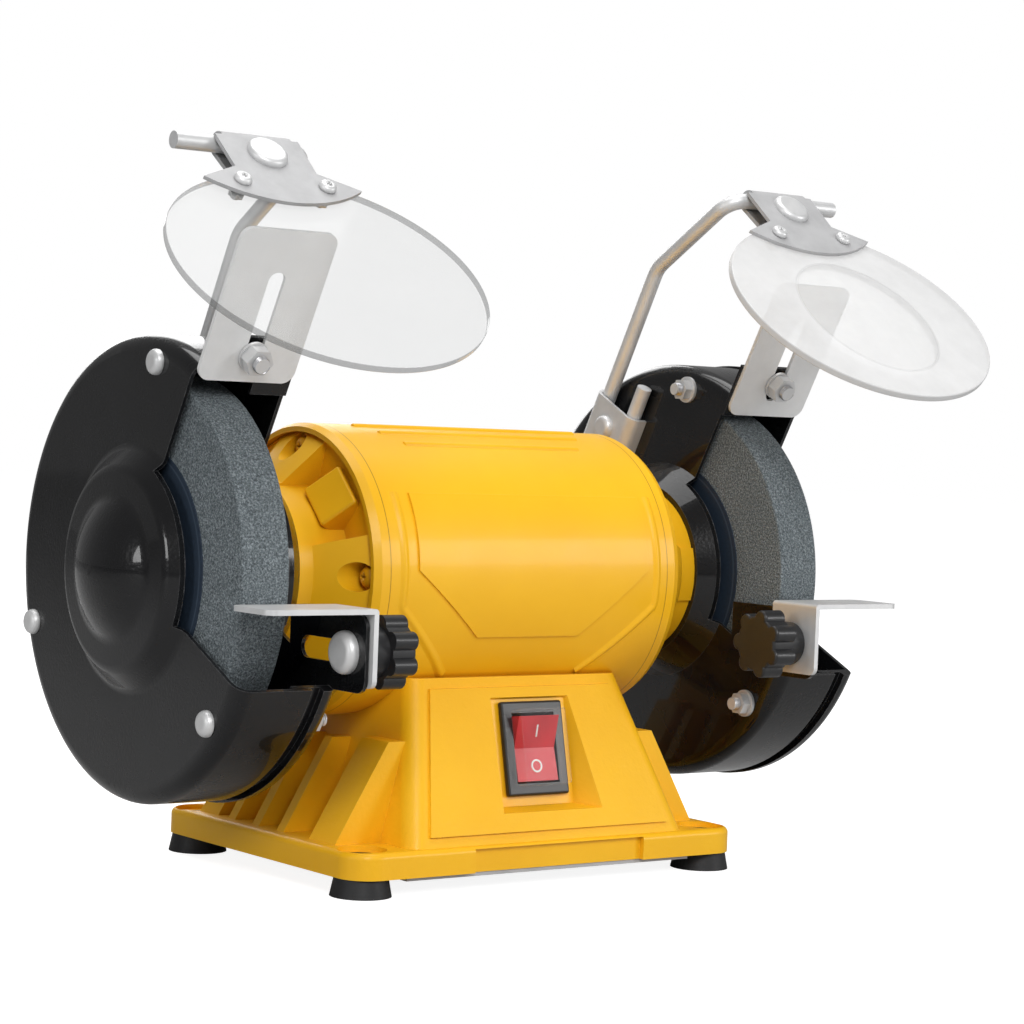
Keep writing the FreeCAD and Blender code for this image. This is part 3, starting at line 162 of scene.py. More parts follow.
class Graph:
    """A material's node tree with short ways to add and join nodes."""

    def __init__(self, name: str) -> None:
        """Starts an empty material with one principled surface.

        Args:
            name: the material's name.
        """
        self.material = bpy.data.materials.new(name)
        self.material.use_nodes = True
        self.tree = self.material.node_tree
        self.tree.nodes.clear()
        output = self.tree.nodes.new("ShaderNodeOutputMaterial")
        self.surface = self.tree.nodes.new("ShaderNodeBsdfPrincipled")
        self.tree.links.new(self.surface.outputs["BSDF"], output.inputs["Surface"])
        self.coords = self.tree.nodes.new("ShaderNodeTexCoord").outputs["Object"]

    def set(self, **values: object) -> None:
        """Sets constant values on the surface's own sockets.

        Args:
            values: socket names in lower case with underscores, and their values.
        """
        for name, value in values.items():
            self.surface.inputs[name.replace("_", " ").title().replace("Ior", "IOR")].default_value = value

    def feed(self, socket: str, source: bpy.types.NodeSocket) -> None:
        """Links a texture to one of the surface's sockets.

        Args:
            socket: the socket's name.
            source: what drives it.
        """
        self.tree.links.new(source, self.surface.inputs[socket])

    def add(self, kind: str, links: dict[str | int, object] | None = None,
            **settings: object) -> bpy.types.Node:
        """Adds a node.

        Args:
            kind: the node's type name.
            links: input names or numbers with a socket to join or a value to set.
            settings: properties of the node itself.

        Returns:
            The new node.
        """
        item = self.tree.nodes.new(kind)
        for name, value in settings.items():
            setattr(item, name, value)
        for name, value in (links or {}).items():
            if isinstance(value, bpy.types.NodeSocket):
                self.tree.links.new(value, item.inputs[name])
            else:
                item.inputs[name].default_value = value
        return item

    def stretched(self, pattern: Pattern, centre: Vector | None = None) -> bpy.types.NodeSocket:
        """Object coordinates stretched along a grain.

        Args:
            pattern: the grain.
            centre: a point that becomes the pattern's middle.

        Returns:
            The coordinate socket.
        """
        shift = tuple(-part for part in centre) if centre else (0.0, 0.0, 0.0)
        links = {"Vector": self.coords, "Location": shift, "Scale": pattern.value}
        return self.add("ShaderNodeMapping", links, vector_type="POINT").outputs["Vector"]

    def noise(self, scale: float, detail: float = 3.0, rough: float = 0.55,
              coords: bpy.types.NodeSocket | None = None) -> bpy.types.NodeSocket:
        """Cloudy noise.

        Args:
            scale: features per metre.
            detail: octaves.
            rough: how strong the fine octaves are.
            coords: other coordinates than the object's own.

        Returns:
            The noise's value socket.
        """
        links = {"Vector": coords or self.coords, "Scale": scale, "Detail": detail, "Roughness": rough}
        return self.add("ShaderNodeTexNoise", links).outputs["Fac"]

    def cells(self, scale: float, feature: str = "F1") -> bpy.types.NodeSocket:
        """Distance inside a pattern of irregular cells.

        Args:
            scale: cells per metre.
            feature: which distance is measured.

        Returns:
            The distance socket.
        """
        return self.add("ShaderNodeTexVoronoi", {"Vector": self.coords, "Scale": scale},
                        feature=feature).outputs["Distance"]

    def ramp(self, source: bpy.types.NodeSocket, stops: list[tuple[float, Colour]]) -> bpy.types.NodeSocket:
        """Turns a value into colours.

        Args:
            source: the value.
            stops: positions and colours, in rising order.

        Returns:
            The colour socket.
        """
        item = self.add("ShaderNodeValToRGB", {"Fac": source})
        points = item.color_ramp.elements
        while len(points) < len(stops):
            points.new(0.5)
        for point, (position, colour) in zip(points, stops):
            point.position = position
            point.color = colour
        return item.outputs["Color"]

    def levels(self, source: bpy.types.NodeSocket, low: float, high: float,
               start: float = 0.0, end: float = 1.0) -> bpy.types.NodeSocket:
        """Maps a value from one range to another.

        Args:
            source: the value.
            low: result at start.
            high: result at end.
            start: lowest value read.
            end: highest value read.

        Returns:
            The mapped value.
        """
        links = {"Value": source, "From Min": start, "From Max": end, "To Min": low, "To Max": high}
        return self.add("ShaderNodeMapRange", links).outputs["Result"]

    def calc(self, first: object, second: object, operation: str = "ADD") -> bpy.types.NodeSocket:
        """Joins two values by arithmetic.

        Args:
            first: a socket or number.
            second: a socket or number.
            operation: the operation's name.

        Returns:
            The result.
        """
        return self.add("ShaderNodeMath", {0: first, 1: second}, operation=operation).outputs["Value"]

    def off(self, source: bpy.types.NodeSocket, middle: float) -> bpy.types.NodeSocket:
        """How far a value lies from a middle value, to either side.

        Args:
            source: the value.
            middle: the middle value.

        Returns:
            The distance.
        """
        return self.calc(self.calc(source, middle, "SUBTRACT"), 0.0, "ABSOLUTE")

    def dot(self, first: object, second: object) -> bpy.types.NodeSocket:
        """Dot product of two directions.

        Args:
            first: a direction or its socket.
            second: a direction or its socket.

        Returns:
            The product.
        """
        item = self.add("ShaderNodeVectorMath", {0: first, 1: second}, operation="DOT_PRODUCT")
        return item.outputs["Value"]

    def blend(self, amount: bpy.types.NodeSocket, first: object, second: object) -> bpy.types.NodeSocket:
        """Blends two colours.

        Args:
            amount: share of the second colour.
            first: a colour or its socket.
            second: a colour or its socket.

        Returns:
            The blended colour.
        """
        item = self.add("ShaderNodeMix", {"Factor": amount}, data_type="RGBA")
        for name, value in (("A", first), ("B", second)):
            socket = next(s for s in item.inputs if s.name == name and s.type == "RGBA")
            if isinstance(value, bpy.types.NodeSocket):
                self.tree.links.new(value, socket)
            else:
                socket.default_value = value
        return next(s for s in item.outputs if s.type == "RGBA")

    def edges(self, radius: float) -> bpy.types.NodeSocket:
        """How close a point lies to a sharp edge.

        Args:
            radius: width of the edge band in metres.

        Returns:
            A value that is 0 on flats and rises at edges.
        """
        soft = self.add("ShaderNodeBevel", {"Radius": radius}, samples=TEST_RAYS).outputs["Normal"]
        hard = self.add("ShaderNodeNewGeometry").outputs["Normal"]
        return self.levels(self.dot(soft, hard), low=1.0, high=0.0, start=0.82, end=0.995)

    def hollows(self, distance: float) -> bpy.types.NodeSocket:
        """How far a point lies in a corner or recess.

        Args:
            distance: reach of the test in metres.

        Returns:
            A value that is 1 in the open and falls in recesses.
        """
        item = self.add("ShaderNodeAmbientOcclusion", {"Distance": distance}, samples=TEST_RAYS)
        return item.outputs["AO"]

    def bump(self, height: bpy.types.NodeSocket, depth: float, strength: float = 1.0) -> None:
        """Gives the surface relief.

        Args:
            height: the relief, 0 to 1.
            depth: its full depth in metres.
            strength: how much of it shows.
        """
        item = self.add("ShaderNodeBump", {"Height": height, "Distance": depth, "Strength": strength})
        self.feed("Normal", item.outputs["Normal"])


class Finish(ABC):
    """A surface finish that makes one material."""

    label: str

    @abstractmethod
    def paint(self, graph: Graph) -> None:
        """Adds the finish's nodes.

        Args:
            graph: the material's node tree.
        """

    def material(self) -> bpy.types.Material:
        """Makes the finish's material.

        Returns:
            The material.
        """
        graph = Graph(self.label)
        self.paint(graph)
        return graph.material


YELLOW = (0.96, 0.52, 0.009, 1.0)
YELLOW_SHADE = (0.9, 0.465, 0.006, 1.0)
# Paler yellow for edges: partly chipped thin paint, partly a painted edge highlight.
YELLOW_WORN_EDGE_HIGHLIGHT = (1.0, 0.66, 0.07, 1.0)
# Dark yellow used as painted shade in recesses and as the dark line at the housing's seams.
YELLOW_SEAM_AND_HOLLOW_SHADE = (0.36, 0.155, 0.003, 1.0)
SCREW_YELLOW = (0.8, 0.38, 0.008, 1.0)
SCREW_SHADE = (0.66, 0.3, 0.006, 1.0)


@dataclass(frozen=True)
class Enamel(Finish):
    """Glossy sprayed enamel over a casting, with painted shade in recesses and lighter edges that are part
    thin worn paint, part painted highlight.

    Scales of grain are in features per metre, depths in metres and seams in mm along X.
    """

    label: str
    colour: Colour
    shade: Colour
    roughness: float
    grain: float
    grain_depth: float
    seams: tuple[float, ...] = ()
    edge: Colour = YELLOW_WORN_EDGE_HIGHLIGHT
    # Colour of the painted shade in recesses and of the seam lines.
    seam_and_hollow_shade: Colour = YELLOW_SEAM_AND_HOLLOW_SHADE

    def paint(self, graph: Graph) -> None:
        """Adds the enamel's nodes.

        Args:
            graph: the material's node tree.
        """
        drift = graph.noise(scale=14.0, detail=4.0)
        colour = graph.ramp(drift, [(0.3, self.shade), (0.65, self.colour)])
        chips = graph.levels(graph.noise(scale=260.0, detail=4.0), low=0.05, high=0.45, start=0.42, end=0.7)
        # Edges lightened in noisy patches: part chipped wear, part painted highlight.
        worn_and_lit_edge = graph.calc(graph.edges(radius=0.6 * MM), chips, "MULTIPLY")
        colour = graph.blend(worn_and_lit_edge, colour, self.edge)
        # Painted shade: recesses are darkened towards the dark yellow.
        hollow_shade = graph.levels(graph.hollows(distance=12.0 * MM), low=0.6, high=0.0, start=0.1, end=0.5)
        colour = graph.blend(hollow_shade, colour, self.seam_and_hollow_shade)
        along = graph.add("ShaderNodeSeparateXYZ", {0: graph.coords}).outputs["X"]
        for seam in self.seams:
            away = graph.off(along, seam * MM)
            gap = graph.levels(away, low=0.85, high=0.0, start=0.1 * MM, end=0.3 * MM)
            colour = graph.blend(gap, colour, self.seam_and_hollow_shade)
        graph.feed("Base Color", colour)
        patches = graph.noise(scale=90.0, detail=4.0)
        graph.feed("Roughness", graph.levels(patches, self.roughness - 0.06, self.roughness + 0.1))
        peel = graph.noise(self.grain, detail=2.0)
        pits = graph.noise(self.grain * 0.16, detail=3.0)
        graph.bump(graph.calc(peel, pits), self.grain_depth, strength=0.6)
        graph.set(coat_weight=0.12, coat_roughness=0.14, specular_ior_level=0.35)


@dataclass(frozen=True)
class WrinkleBlack(Finish):
    """Black stove enamel on pressed steel, with a fine wrinkle."""

    label: str
    colour: Colour
    edge: Colour
    roughness: float
    wrinkle: float
    wrinkle_depth: float

    def paint(self, graph: Graph) -> None:
        """Adds the enamel's nodes.

        Args:
            graph: the material's node tree.
        """
        drift = graph.noise(scale=30.0, detail=3.0)
        colour = graph.ramp(drift, [(0.35, self.colour), (0.8, toned(self.colour, 2.2))])
        chips = graph.levels(graph.noise(scale=420.0, detail=4.0), low=0.15, high=0.7, start=0.4, end=0.7)
        # Edges lightened to grey in noisy patches: part bare worn steel, part painted highlight.
        worn_and_lit_edge = graph.calc(graph.edges(radius=0.5 * MM), chips, "MULTIPLY")
        graph.feed("Base Color", graph.blend(worn_and_lit_edge, colour, self.edge))
        sheen = graph.noise(scale=55.0, detail=4.0)
        graph.feed("Roughness", graph.levels(sheen, self.roughness - 0.07, self.roughness + 0.12))
        cells = graph.levels(graph.cells(self.wrinkle, "SMOOTH_F1"), low=1.0, high=0.0, end=0.8)
        patches = graph.levels(graph.noise(scale=22.0, detail=2.0), low=0.25, high=1.0, start=0.35, end=0.65)
        graph.bump(graph.calc(cells, patches, "MULTIPLY"), self.wrinkle_depth, strength=0.5)
        graph.set(coat_weight=0.6, coat_roughness=0.05, specular_ior_level=0.15)


@dataclass(frozen=True)
class Plated(Finish):
    """Plated or turned steel with a grain, cloudy patches and painted shade in recesses."""

    label: str
    colour: Colour
    tint: Colour
    roughness: float
    grain_scale: float
    grain: Pattern = Pattern.EVEN
    grain_depth: float = 0.03 * MM
    metal: float = 1.0

    def paint(self, graph: Graph) -> None:
        """Adds the plating's nodes.

        Args:
            graph: the material's node tree.
        """
        cloud = graph.noise(scale=75.0, detail=5.0, rough=0.6)
        colour = graph.ramp(cloud, [(0.32, self.tint), (0.62, self.colour)])
        # Painted shade: recesses are darkened to a dark tone of the metal.
        hollow_shade = graph.levels(graph.hollows(distance=3.0 * MM), low=0.5, high=0.0, start=0.2, end=0.8)
        graph.feed("Base Color", graph.blend(hollow_shade, colour, toned(self.colour, 0.45)))
        streaks = graph.noise(self.grain_scale, detail=4.0, rough=0.6, coords=graph.stretched(self.grain))
        grained = graph.levels(streaks, self.roughness - 0.06, self.roughness + 0.1)
        graph.feed("Roughness", graph.calc(graph.levels(cloud, -0.05, 0.08), grained))
        graph.bump(streaks, self.grain_depth, strength=0.35)
        graph.set(metallic=self.metal)


@dataclass(frozen=True)
class Abrasive(Finish):
    """Bonded grit: tight dark and pale grains with small pores."""

    label: str
    dark: Colour
    body: Colour
    pale: Colour
    grit: float

    def paint(self, graph: Graph) -> None:
        """Adds the grit's nodes.

        Args:
            graph: the material's node tree.
        """
        grains = graph.noise(self.grit, detail=3.0, rough=0.75)
        specks = graph.cells(self.grit * 0.8)
        colour = graph.ramp(grains, [(0.36, self.dark), (0.5, self.body), (0.66, self.pale)])
        cloud = graph.levels(graph.noise(scale=26.0, detail=3.0), low=0.0, high=0.28, start=0.35, end=0.75)
        colour = graph.blend(cloud, colour, self.dark)
        glint = graph.levels(specks, low=0.55, high=0.0, end=0.22)
        graph.feed("Base Color", graph.blend(glint, colour, self.pale))
        graph.feed("Roughness", graph.levels(grains, low=0.95, high=0.7))
        graph.bump(graph.calc(grains, specks, "SUBTRACT"), depth=0.5 * MM, strength=0.8)
        graph.set(specular_ior_level=0.3)


@dataclass(frozen=True)
class CardLabel(Finish):
    """A dark card disc with one plain ring about the spindle, its radius in mm."""

    label: str
    colour: Colour
    ring: Colour
    ring_radius: float

    def paint(self, graph: Graph) -> None:
        """Adds the card's nodes.

        Args:
            graph: the material's node tree.
        """
        parts = graph.add("ShaderNodeSeparateXYZ", {0: graph.stretched(Pattern.EVEN, SPINDLE)})
        across, up = (graph.calc(parts.outputs[axis], parts.outputs[axis], "MULTIPLY") for axis in "YZ")
        radius = graph.calc(graph.calc(across, up), 0.5, "POWER")
        away = graph.off(radius, self.ring_radius * MM)
        line = graph.levels(away, low=0.8, high=0.0, start=0.25 * MM, end=0.45 * MM)
        fibres = graph.noise(scale=900.0, detail=3.0)
        card = graph.ramp(fibres, [(0.3, self.colour), (0.8, toned(self.colour, 1.8))])
        graph.feed("Base Color", graph.blend(line, card, self.ring))
        graph.feed("Roughness", graph.levels(fibres, low=0.5, high=0.75))
        graph.bump(fibres, depth=0.08 * MM, strength=0.4)


@dataclass(frozen=True)
class Moulded(Finish):
    """Moulded plastic or rubber with a fine spark texture."""

    label: str
    colour: Colour
    roughness: float
    texture: float
    texture_depth: float
    gloss: float

    def paint(self, graph: Graph) -> None:
        """Adds the moulding's nodes.

        Args:
            graph: the material's node tree.
        """
        drift = graph.noise(scale=60.0, detail=4.0)
        light = toned(self.colour, 1.4, lift=0.005)
        colour = graph.ramp(drift, [(0.35, self.colour), (0.85, light)])
        # Edges lightened: part rubbed wear, part painted highlight.
        rub_and_edge_highlight = graph.levels(graph.edges(radius=0.5 * MM), low=0.0, high=0.3)
        graph.feed("Base Color", graph.blend(rub_and_edge_highlight, colour, light))
        grain = graph.noise(self.texture, detail=2.0)
        graph.feed("Roughness", graph.levels(grain, self.roughness - 0.08, self.roughness + 0.12))
        graph.bump(grain, self.texture_depth, strength=0.5)
        graph.set(coat_weight=self.gloss, coat_roughness=0.1)


@dataclass(frozen=True)
class Magnifier:
    """A round zone that stands off a sheet, in mm, with the share of the sheet's cover that it keeps."""

    centre: Point
    radius: float
    rim: float
    cover: float


@dataclass(frozen=True)
class ClearSheet(Finish):
    """Thin clear or frosted plastic: mostly see-through, denser at its edges, with faint handling haze."""

    label: str
    colour: Colour
    edge: Colour
    roughness: float
    cover: float
    edge_cover: float
    facing: Point | None = None
    magnifier: Magnifier | None = None

    def rim(self, graph: Graph) -> bpy.types.NodeSocket:
        """Finds the sheet's cut edge, from its flat face's direction where it has one.

        Args:
            graph: the material's node tree.

        Returns:
            A value that is 0 on the faces and 1 at the edge.
        """
        if not self.facing:
            return graph.edges(radius=0.7 * MM)
        own = graph.add("ShaderNodeTexCoord").outputs["Normal"]
        flat = graph.off(graph.dot(own, self.facing), 0.0)
        return graph.levels(flat, low=1.0, high=0.0, start=0.55, end=0.92)

    def paint(self, graph: Graph) -> None:
        """Adds the sheet's nodes.

        Args:
            graph: the material's node tree.
        """
        smear = graph.noise(scale=45.0, detail=4.0)
        graph.feed("Roughness", graph.levels(smear, self.roughness * 0.7, self.roughness * 1.4))
        rim = self.rim(graph)
        cover = graph.levels(smear, self.cover * 0.85, self.cover * 1.15)
        if self.magnifier:
            offset = graph.stretched(Pattern.EVEN, Vector(self.magnifier.centre) * MM)
            reach = graph.add("ShaderNodeVectorMath", {0: offset}, operation="LENGTH").outputs["Value"]
            radius, width = self.magnifier.radius * MM, self.magnifier.rim * MM
            inside = graph.levels(reach, self.magnifier.cover, 1.0, start=radius - 0.3 * MM, end=radius)
            cover = graph.calc(cover, inside, "MULTIPLY")
            ring = graph.levels(graph.off(reach, radius), low=0.7, high=0.0, start=0.25 * width, end=width)
            rim = graph.calc(rim, ring, "MAXIMUM")
        graph.feed("Alpha", graph.calc(cover, graph.levels(rim, 0.0, self.edge_cover), "MAXIMUM"))
        colour = graph.ramp(smear, [(0.3, toned(self.colour, 0.95)), (0.7, self.colour)])
        graph.feed("Base Color", graph.blend(rim, colour, self.edge))
        graph.bump(graph.noise(scale=18.0, detail=2.0), depth=0.05 * MM, strength=0.15)
        graph.set(specular_ior_level=0.4)


FINISHES: dict[str, Finish] = {finish.label: finish for finish in (
    Enamel("yellow_casting", YELLOW, YELLOW_SHADE, roughness=0.46, grain=520.0, grain_depth=0.16 * MM),
    Enamel("yellow_housing", YELLOW, YELLOW_SHADE, roughness=0.42, grain=700.0, grain_depth=0.06 * MM,
           seams=(-72.0, 66.0)),
    Enamel("yellow_screws", SCREW_YELLOW, SCREW_SHADE, roughness=0.3, grain=900.0, grain_depth=0.05 * MM),
    # Its edge grey is partly bare worn steel and partly a painted edge highlight.
    WrinkleBlack("black_paint", (0.0035, 0.0035, 0.004, 1.0), edge=(0.22, 0.22, 0.225, 1.0),
                 roughness=0.24, wrinkle=850.0, wrinkle_depth=0.15 * MM),
    Plated("zinc", grey(0.76), tint=(0.68, 0.685, 0.69, 1.0), roughness=0.42, grain_scale=420.0, metal=0.5),
    Plated("bright_steel", (0.62, 0.62, 0.64, 1.0), tint=(0.48, 0.48, 0.5, 1.0), roughness=0.32,
           grain_scale=700.0),
    Plated("core_steel", (0.28, 0.28, 0.29, 1.0), tint=(0.2, 0.2, 0.21, 1.0), roughness=0.45,
           grain_scale=900.0, grain=Pattern.ALONG_Z, grain_depth=0.06 * MM),
    Plated("copper", (0.62, 0.28, 0.13, 1.0), tint=(0.45, 0.18, 0.08, 1.0), roughness=0.35,
           grain_scale=900.0, grain=Pattern.ALONG_X, grain_depth=0.2 * MM),
    Moulded("grey_can", (0.3, 0.31, 0.33, 1.0), roughness=0.4, texture=900.0, texture_depth=0.02 * MM,
            gloss=0.2),
    Abrasive("abrasive", dark=(0.055, 0.066, 0.072, 1.0), body=(0.135, 0.16, 0.172, 1.0),
             pale=(0.32, 0.36, 0.38, 1.0), grit=1300.0),
    CardLabel("label", (0.012, 0.022, 0.038, 1.0), ring=(0.05, 0.075, 0.11, 1.0), ring_radius=45.6),
    Moulded("rubber", (0.008, 0.008, 0.009, 1.0), roughness=0.55, texture=900.0, texture_depth=0.05 * MM,
            gloss=0.0),
    Moulded("black_plastic", (0.007, 0.007, 0.008, 1.0), roughness=0.42, texture=1400.0,
            texture_depth=0.02 * MM, gloss=0.15),
    Moulded("knob_plastic", (0.008, 0.008, 0.009, 1.0), roughness=0.42, texture=1200.0,
            texture_depth=0.02 * MM, gloss=0.15),
    Moulded("red_plastic", (0.5, 0.004, 0.012, 1.0), roughness=0.4, texture=1500.0,
            texture_depth=0.01 * MM, gloss=0.1),
    ClearSheet("clear_boot", grey(0.5), edge=grey(0.5), roughness=0.12, cover=0.03, edge_cover=0.2),
    ClearSheet("clear_lens", (0.42, 0.43, 0.43, 1.0), edge=(0.16, 0.165, 0.165, 1.0), roughness=0.06,
               cover=0.16, edge_cover=0.6, facing=SHIELD_NORMAL),
)}
FROSTED = ClearSheet("frosted_lens", grey(0.8), edge=grey(0.62), roughness=0.4, cover=0.7, edge_cover=0.9,
                     facing=SHIELD_NORMAL,
                     magnifier=Magnifier((131.0, -95.6, 227.5), radius=33.5, rim=0.9, cover=0.62))
# A darker, duller copy of the zinc as painted shade: on the shield brackets to hold back their highlight, on
# the base cover so that it reads as shadow under the base.
SHADED_ZINC = Plated("dull_zinc", (0.5, 0.5, 0.505, 1.0), tint=(0.43, 0.43, 0.435, 1.0), roughness=0.56,
                   grain_scale=420.0, metal=0.25)
# A paler copy of the zinc on the spark plates: painted light.
LIT_ZINC = Plated("pale_zinc", (0.86, 0.86, 0.855, 1.0), tint=(0.8, 0.8, 0.795, 1.0), roughness=0.45,
                   grain_scale=420.0, metal=0.15)
MARKING = Moulded("white_marking", (0.75, 0.75, 0.73, 1.0), roughness=0.4, texture=1200.0,
                  texture_depth=0.01 * MM, gloss=0.1)
# Finishes that differ from a node's slot: the frosted right lens, and a painted-shade and a painted-light
# copy of the zinc.
OWN_FINISHES: dict[str, Finish] = {
    "right_lens": FROSTED,
    "base_cover": SHADED_ZINC,
    **{side.node("shield_bracket"): SHADED_ZINC for side in Side},
    **{side.node("spark_plate"): LIT_ZINC for side in Side},
}


def stand_at(point: Point, along: Point) -> Matrix:
    """Moves a piece modelled on Z to a point and turns it along a direction.

    Args:
        point: the point in mm.
        along: where the piece's Z axis goes.

    Returns:
        The move.
    """
    turn = Vector(along).to_track_quat("Z", "Y").to_matrix().to_4x4()
    return Matrix.Translation(Vector(point) * MM) @ turn


@dataclass(frozen=True)
class CrossRecess:
    """A cross recess for a driver in the crown of a screw head, in mm."""

    crown: Point
    outward: Point
    arm: float = 4.2
    width: float = 1.0
    depth: float = 1.7
    arm_taper: float = 0.5
    width_taper: float = 0.8


@dataclass(frozen=True)
class ThreadEnd:
    """The bare thread at the end of a bolt, in mm."""

    start: Point
    along: Point
    radius: float
    turns: int = 3
    pitch: float = 0.8
    ridge: float = 0.32
    steps: int = 28


@dataclass
class Workshop:
    """The nodes that are shown and the materials made so far."""

    nodes: dict[str, bpy.types.Object]
    slots: dict[str, str]
    made: dict[str, bpy.types.Material] = field(default_factory=dict)

    def material(self, finish: Finish) -> bpy.types.Material:
        """The material of a finish, made once.

        Args:
            finish: the finish.

        Returns:
            Its material.
        """
        if finish.label not in self.made:
            self.made[finish.label] = finish.material()
        return self.made[finish.label]

    def pick(self, *items: bpy.types.Object) -> None:
        """Selects these objects alone, the last of them active.

        Args:
            items: the objects.
        """
        bpy.ops.object.select_all(action="DESELECT")
        for item in items:
            item.select_set(True)
            bpy.context.view_layer.objects.active = item

    def apply(self, item: bpy.types.Object, kind: str, **settings: object) -> None:
        """Adds a modifier and applies it.

        Args:
            item: the object.
            kind: the modifier's type.
            settings: the modifier's values.
        """
        modifier = item.modifiers.new(kind.title(), kind)
        for name, value in settings.items():
            setattr(modifier, name, value)
        self.pick(item)
        bpy.ops.object.modifier_apply(modifier=modifier.name)

    def tidy_normals(self, item: bpy.types.Object) -> None:
        """Turns all faces of a closed piece outwards.

        Args:
            item: the piece.
        """
        self.pick(item)
        with editing():
            bpy.ops.mesh.normals_make_consistent(inside=False)

    def copies(self, pattern: bpy.types.Object, stands: list[Matrix]) -> bpy.types.Object:
        """Copies one modelled piece to several places and joins the copies.

        Args:
            pattern: the piece, modelled at the origin along Z; it is used up.
            stands: where the copies go.

        Returns:
            The joined copies.
        """
        made = []
        for stand in stands:
            copy = bpy.data.objects.new(pattern.name, pattern.data.copy())
            bpy.context.scene.collection.objects.link(copy)
            copy.data.transform(stand)
            made.append(copy)
        bpy.data.objects.remove(pattern)
        self.pick(*made)
        bpy.ops.object.join()
        return bpy.context.object

    def cross_cutter(self, recess: CrossRecess) -> bpy.types.Object:
        """Models a tapered cross that cuts a recess, with the crown of the head at the origin.

        Args:
            recess: its sizes.

        Returns:
            The cutter.
        """
        bpy.ops.object.select_all(action="DESELECT")
        bpy.ops.mesh.primitive_cube_add(size=1.0)
        cutter = bpy.context.object
        with editing():
            bpy.ops.transform.resize(value=(recess.arm * MM, recess.width * MM, 2.0 * recess.depth * MM))
            bpy.ops.mesh.select_all(action="DESELECT")
        for point in cutter.data.vertices:
            point.select = point.co.z < 0.0
        bpy.ops.object.mode_set(mode="EDIT")
        bpy.ops.transform.resize(value=(recess.arm_taper, recess.width_taper, 1.0),
                                 center_override=(0.0, 0.0, 0.0))
        bpy.ops.object.mode_set(mode="OBJECT")
        with editing():
            bpy.ops.mesh.duplicate()
            bpy.ops.transform.rotate(value=math.pi / 2, orient_axis="Z", center_override=(0.0, 0.0, 0.0))
        return cutter

    def cut_crosses(self, name: str, recesses: list[CrossRecess]) -> None:
        """Replaces a node of screws by a copy with cross recesses in the heads.

        Args:
            name: the node.
            recesses: one recess for each head.
        """
        node = self.nodes[name]
        screws = bpy.data.objects.new(f"{name}_crossed", node.data.copy())
        bpy.context.scene.collection.objects.link(screws)
        self.pick(screws)
        with editing():
            bpy.ops.mesh.remove_doubles(threshold=CUT_WELD)
        stands = [stand_at(recess.crown, recess.outward) for recess in recesses]
        cutter = self.copies(self.cross_cutter(recesses[0]), stands)
        self.apply(screws, "BOOLEAN", operation="DIFFERENCE", solver="EXACT", use_self=True, object=cutter)
        bpy.data.objects.remove(cutter)
        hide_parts(name)
        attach(screws, node["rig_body"])
        self.nodes[name] = screws

    def add_threads(self, name: str, body: str, slot: str, ends: list[ThreadEnd]) -> None:
        """Adds the bare threads of several bolts as one piece.

        Args:
            name: the piece's name.
            body: the body that the bolts ride on.
            slot: the record's material slot.
            ends: the threads, all of one size.
        """
        size = ends[0]
        bpy.ops.object.select_all(action="DESELECT")
        bpy.ops.mesh.primitive_circle_add(vertices=4, radius=size.ridge * MM, fill_type="NOTHING",
                                          location=(size.radius * MM, 0.0, 0.0),
                                          rotation=(math.pi / 2, 0.0, 0.0))
        ridge = bpy.context.object
        bpy.ops.object.transform_apply(location=True, rotation=True, scale=True)
        self.apply(ridge, "SCREW", axis="Z", screw_offset=size.pitch * MM, iterations=size.turns,
                   steps=size.steps, render_steps=size.steps)
        with editing():
            bpy.ops.mesh.remove_doubles(threshold=THREAD_WELD)
            bpy.ops.mesh.fill_holes(sides=4)
            bpy.ops.mesh.normals_make_consistent(inside=False)
        threads = self.copies(ridge, [stand_at(end.start, end.along) for end in ends])
        self.finish_new(threads, name, body, slot, FINISHES[slot])

    def give(self, item: bpy.types.Object, finish: Finish) -> None:
        """Gives an object one finish all over.

        Args:
            item: the object.
            finish: its finish.
        """
        item.data.materials.clear()
        item.data.materials.append(self.material(finish))

    def smooth(self, item: bpy.types.Object, angle: float = 32.0) -> None:
        """Shades an object smooth except at its sharp edges.

        Args:
            item: the object.
            angle: edges sharper than this many degrees stay crisp.
        """
        self.pick(item)
        bpy.ops.object.shade_smooth_by_angle(angle=math.radians(angle))

    def finish_new(self, item: bpy.types.Object, name: str, body: str, slot: str, finish: Finish) -> None:
        """Names, finishes and seats a new piece.

        Args:
            item: the new piece, in place.
            name: its name.
            body: the body that it rides on.
            slot: the record's material slot; not used.
            finish: its finish.
        """
        self.pick(item)
        bpy.ops.object.transform_apply(location=True, rotation=True, scale=True)
        item.name = name
        self.give(item, finish)
        self.smooth(item)
        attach(item, body)


@dataclass
class SubAssembly(ABC):
    """A group of nodes that is built on and finished together."""

    shop: Workshop

    @property
    @abstractmethod
    def members(self) -> list[str]:
        """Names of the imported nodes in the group."""

    def build(self) -> None:
        """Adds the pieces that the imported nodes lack."""

    def dress(self) -> None:
        """Gives each node its finish."""
        for name in self.members:
            self.shop.give(self.shop.nodes[name], self.finish_of(name))
            self.shop.smooth(self.shop.nodes[name])

    def finish_of(self, name: str) -> Finish:
        """The finish for a node: its own where it has one, or else its slot's.

        Args:
            name: the node.

        Returns:
            Its finish.
        """
        return OWN_FINISHES.get(name, FINISHES[self.shop.slots[name]])


@dataclass
class Base(SubAssembly):
    """Pedestal casting, cover, feet, cord inlet and capacitor."""

    @property
    def members(self) -> list[str]:
        """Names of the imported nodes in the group."""
        return ["base_casting", "base_cover", "rubber_feet", "cord_inlet", "capacitor"]


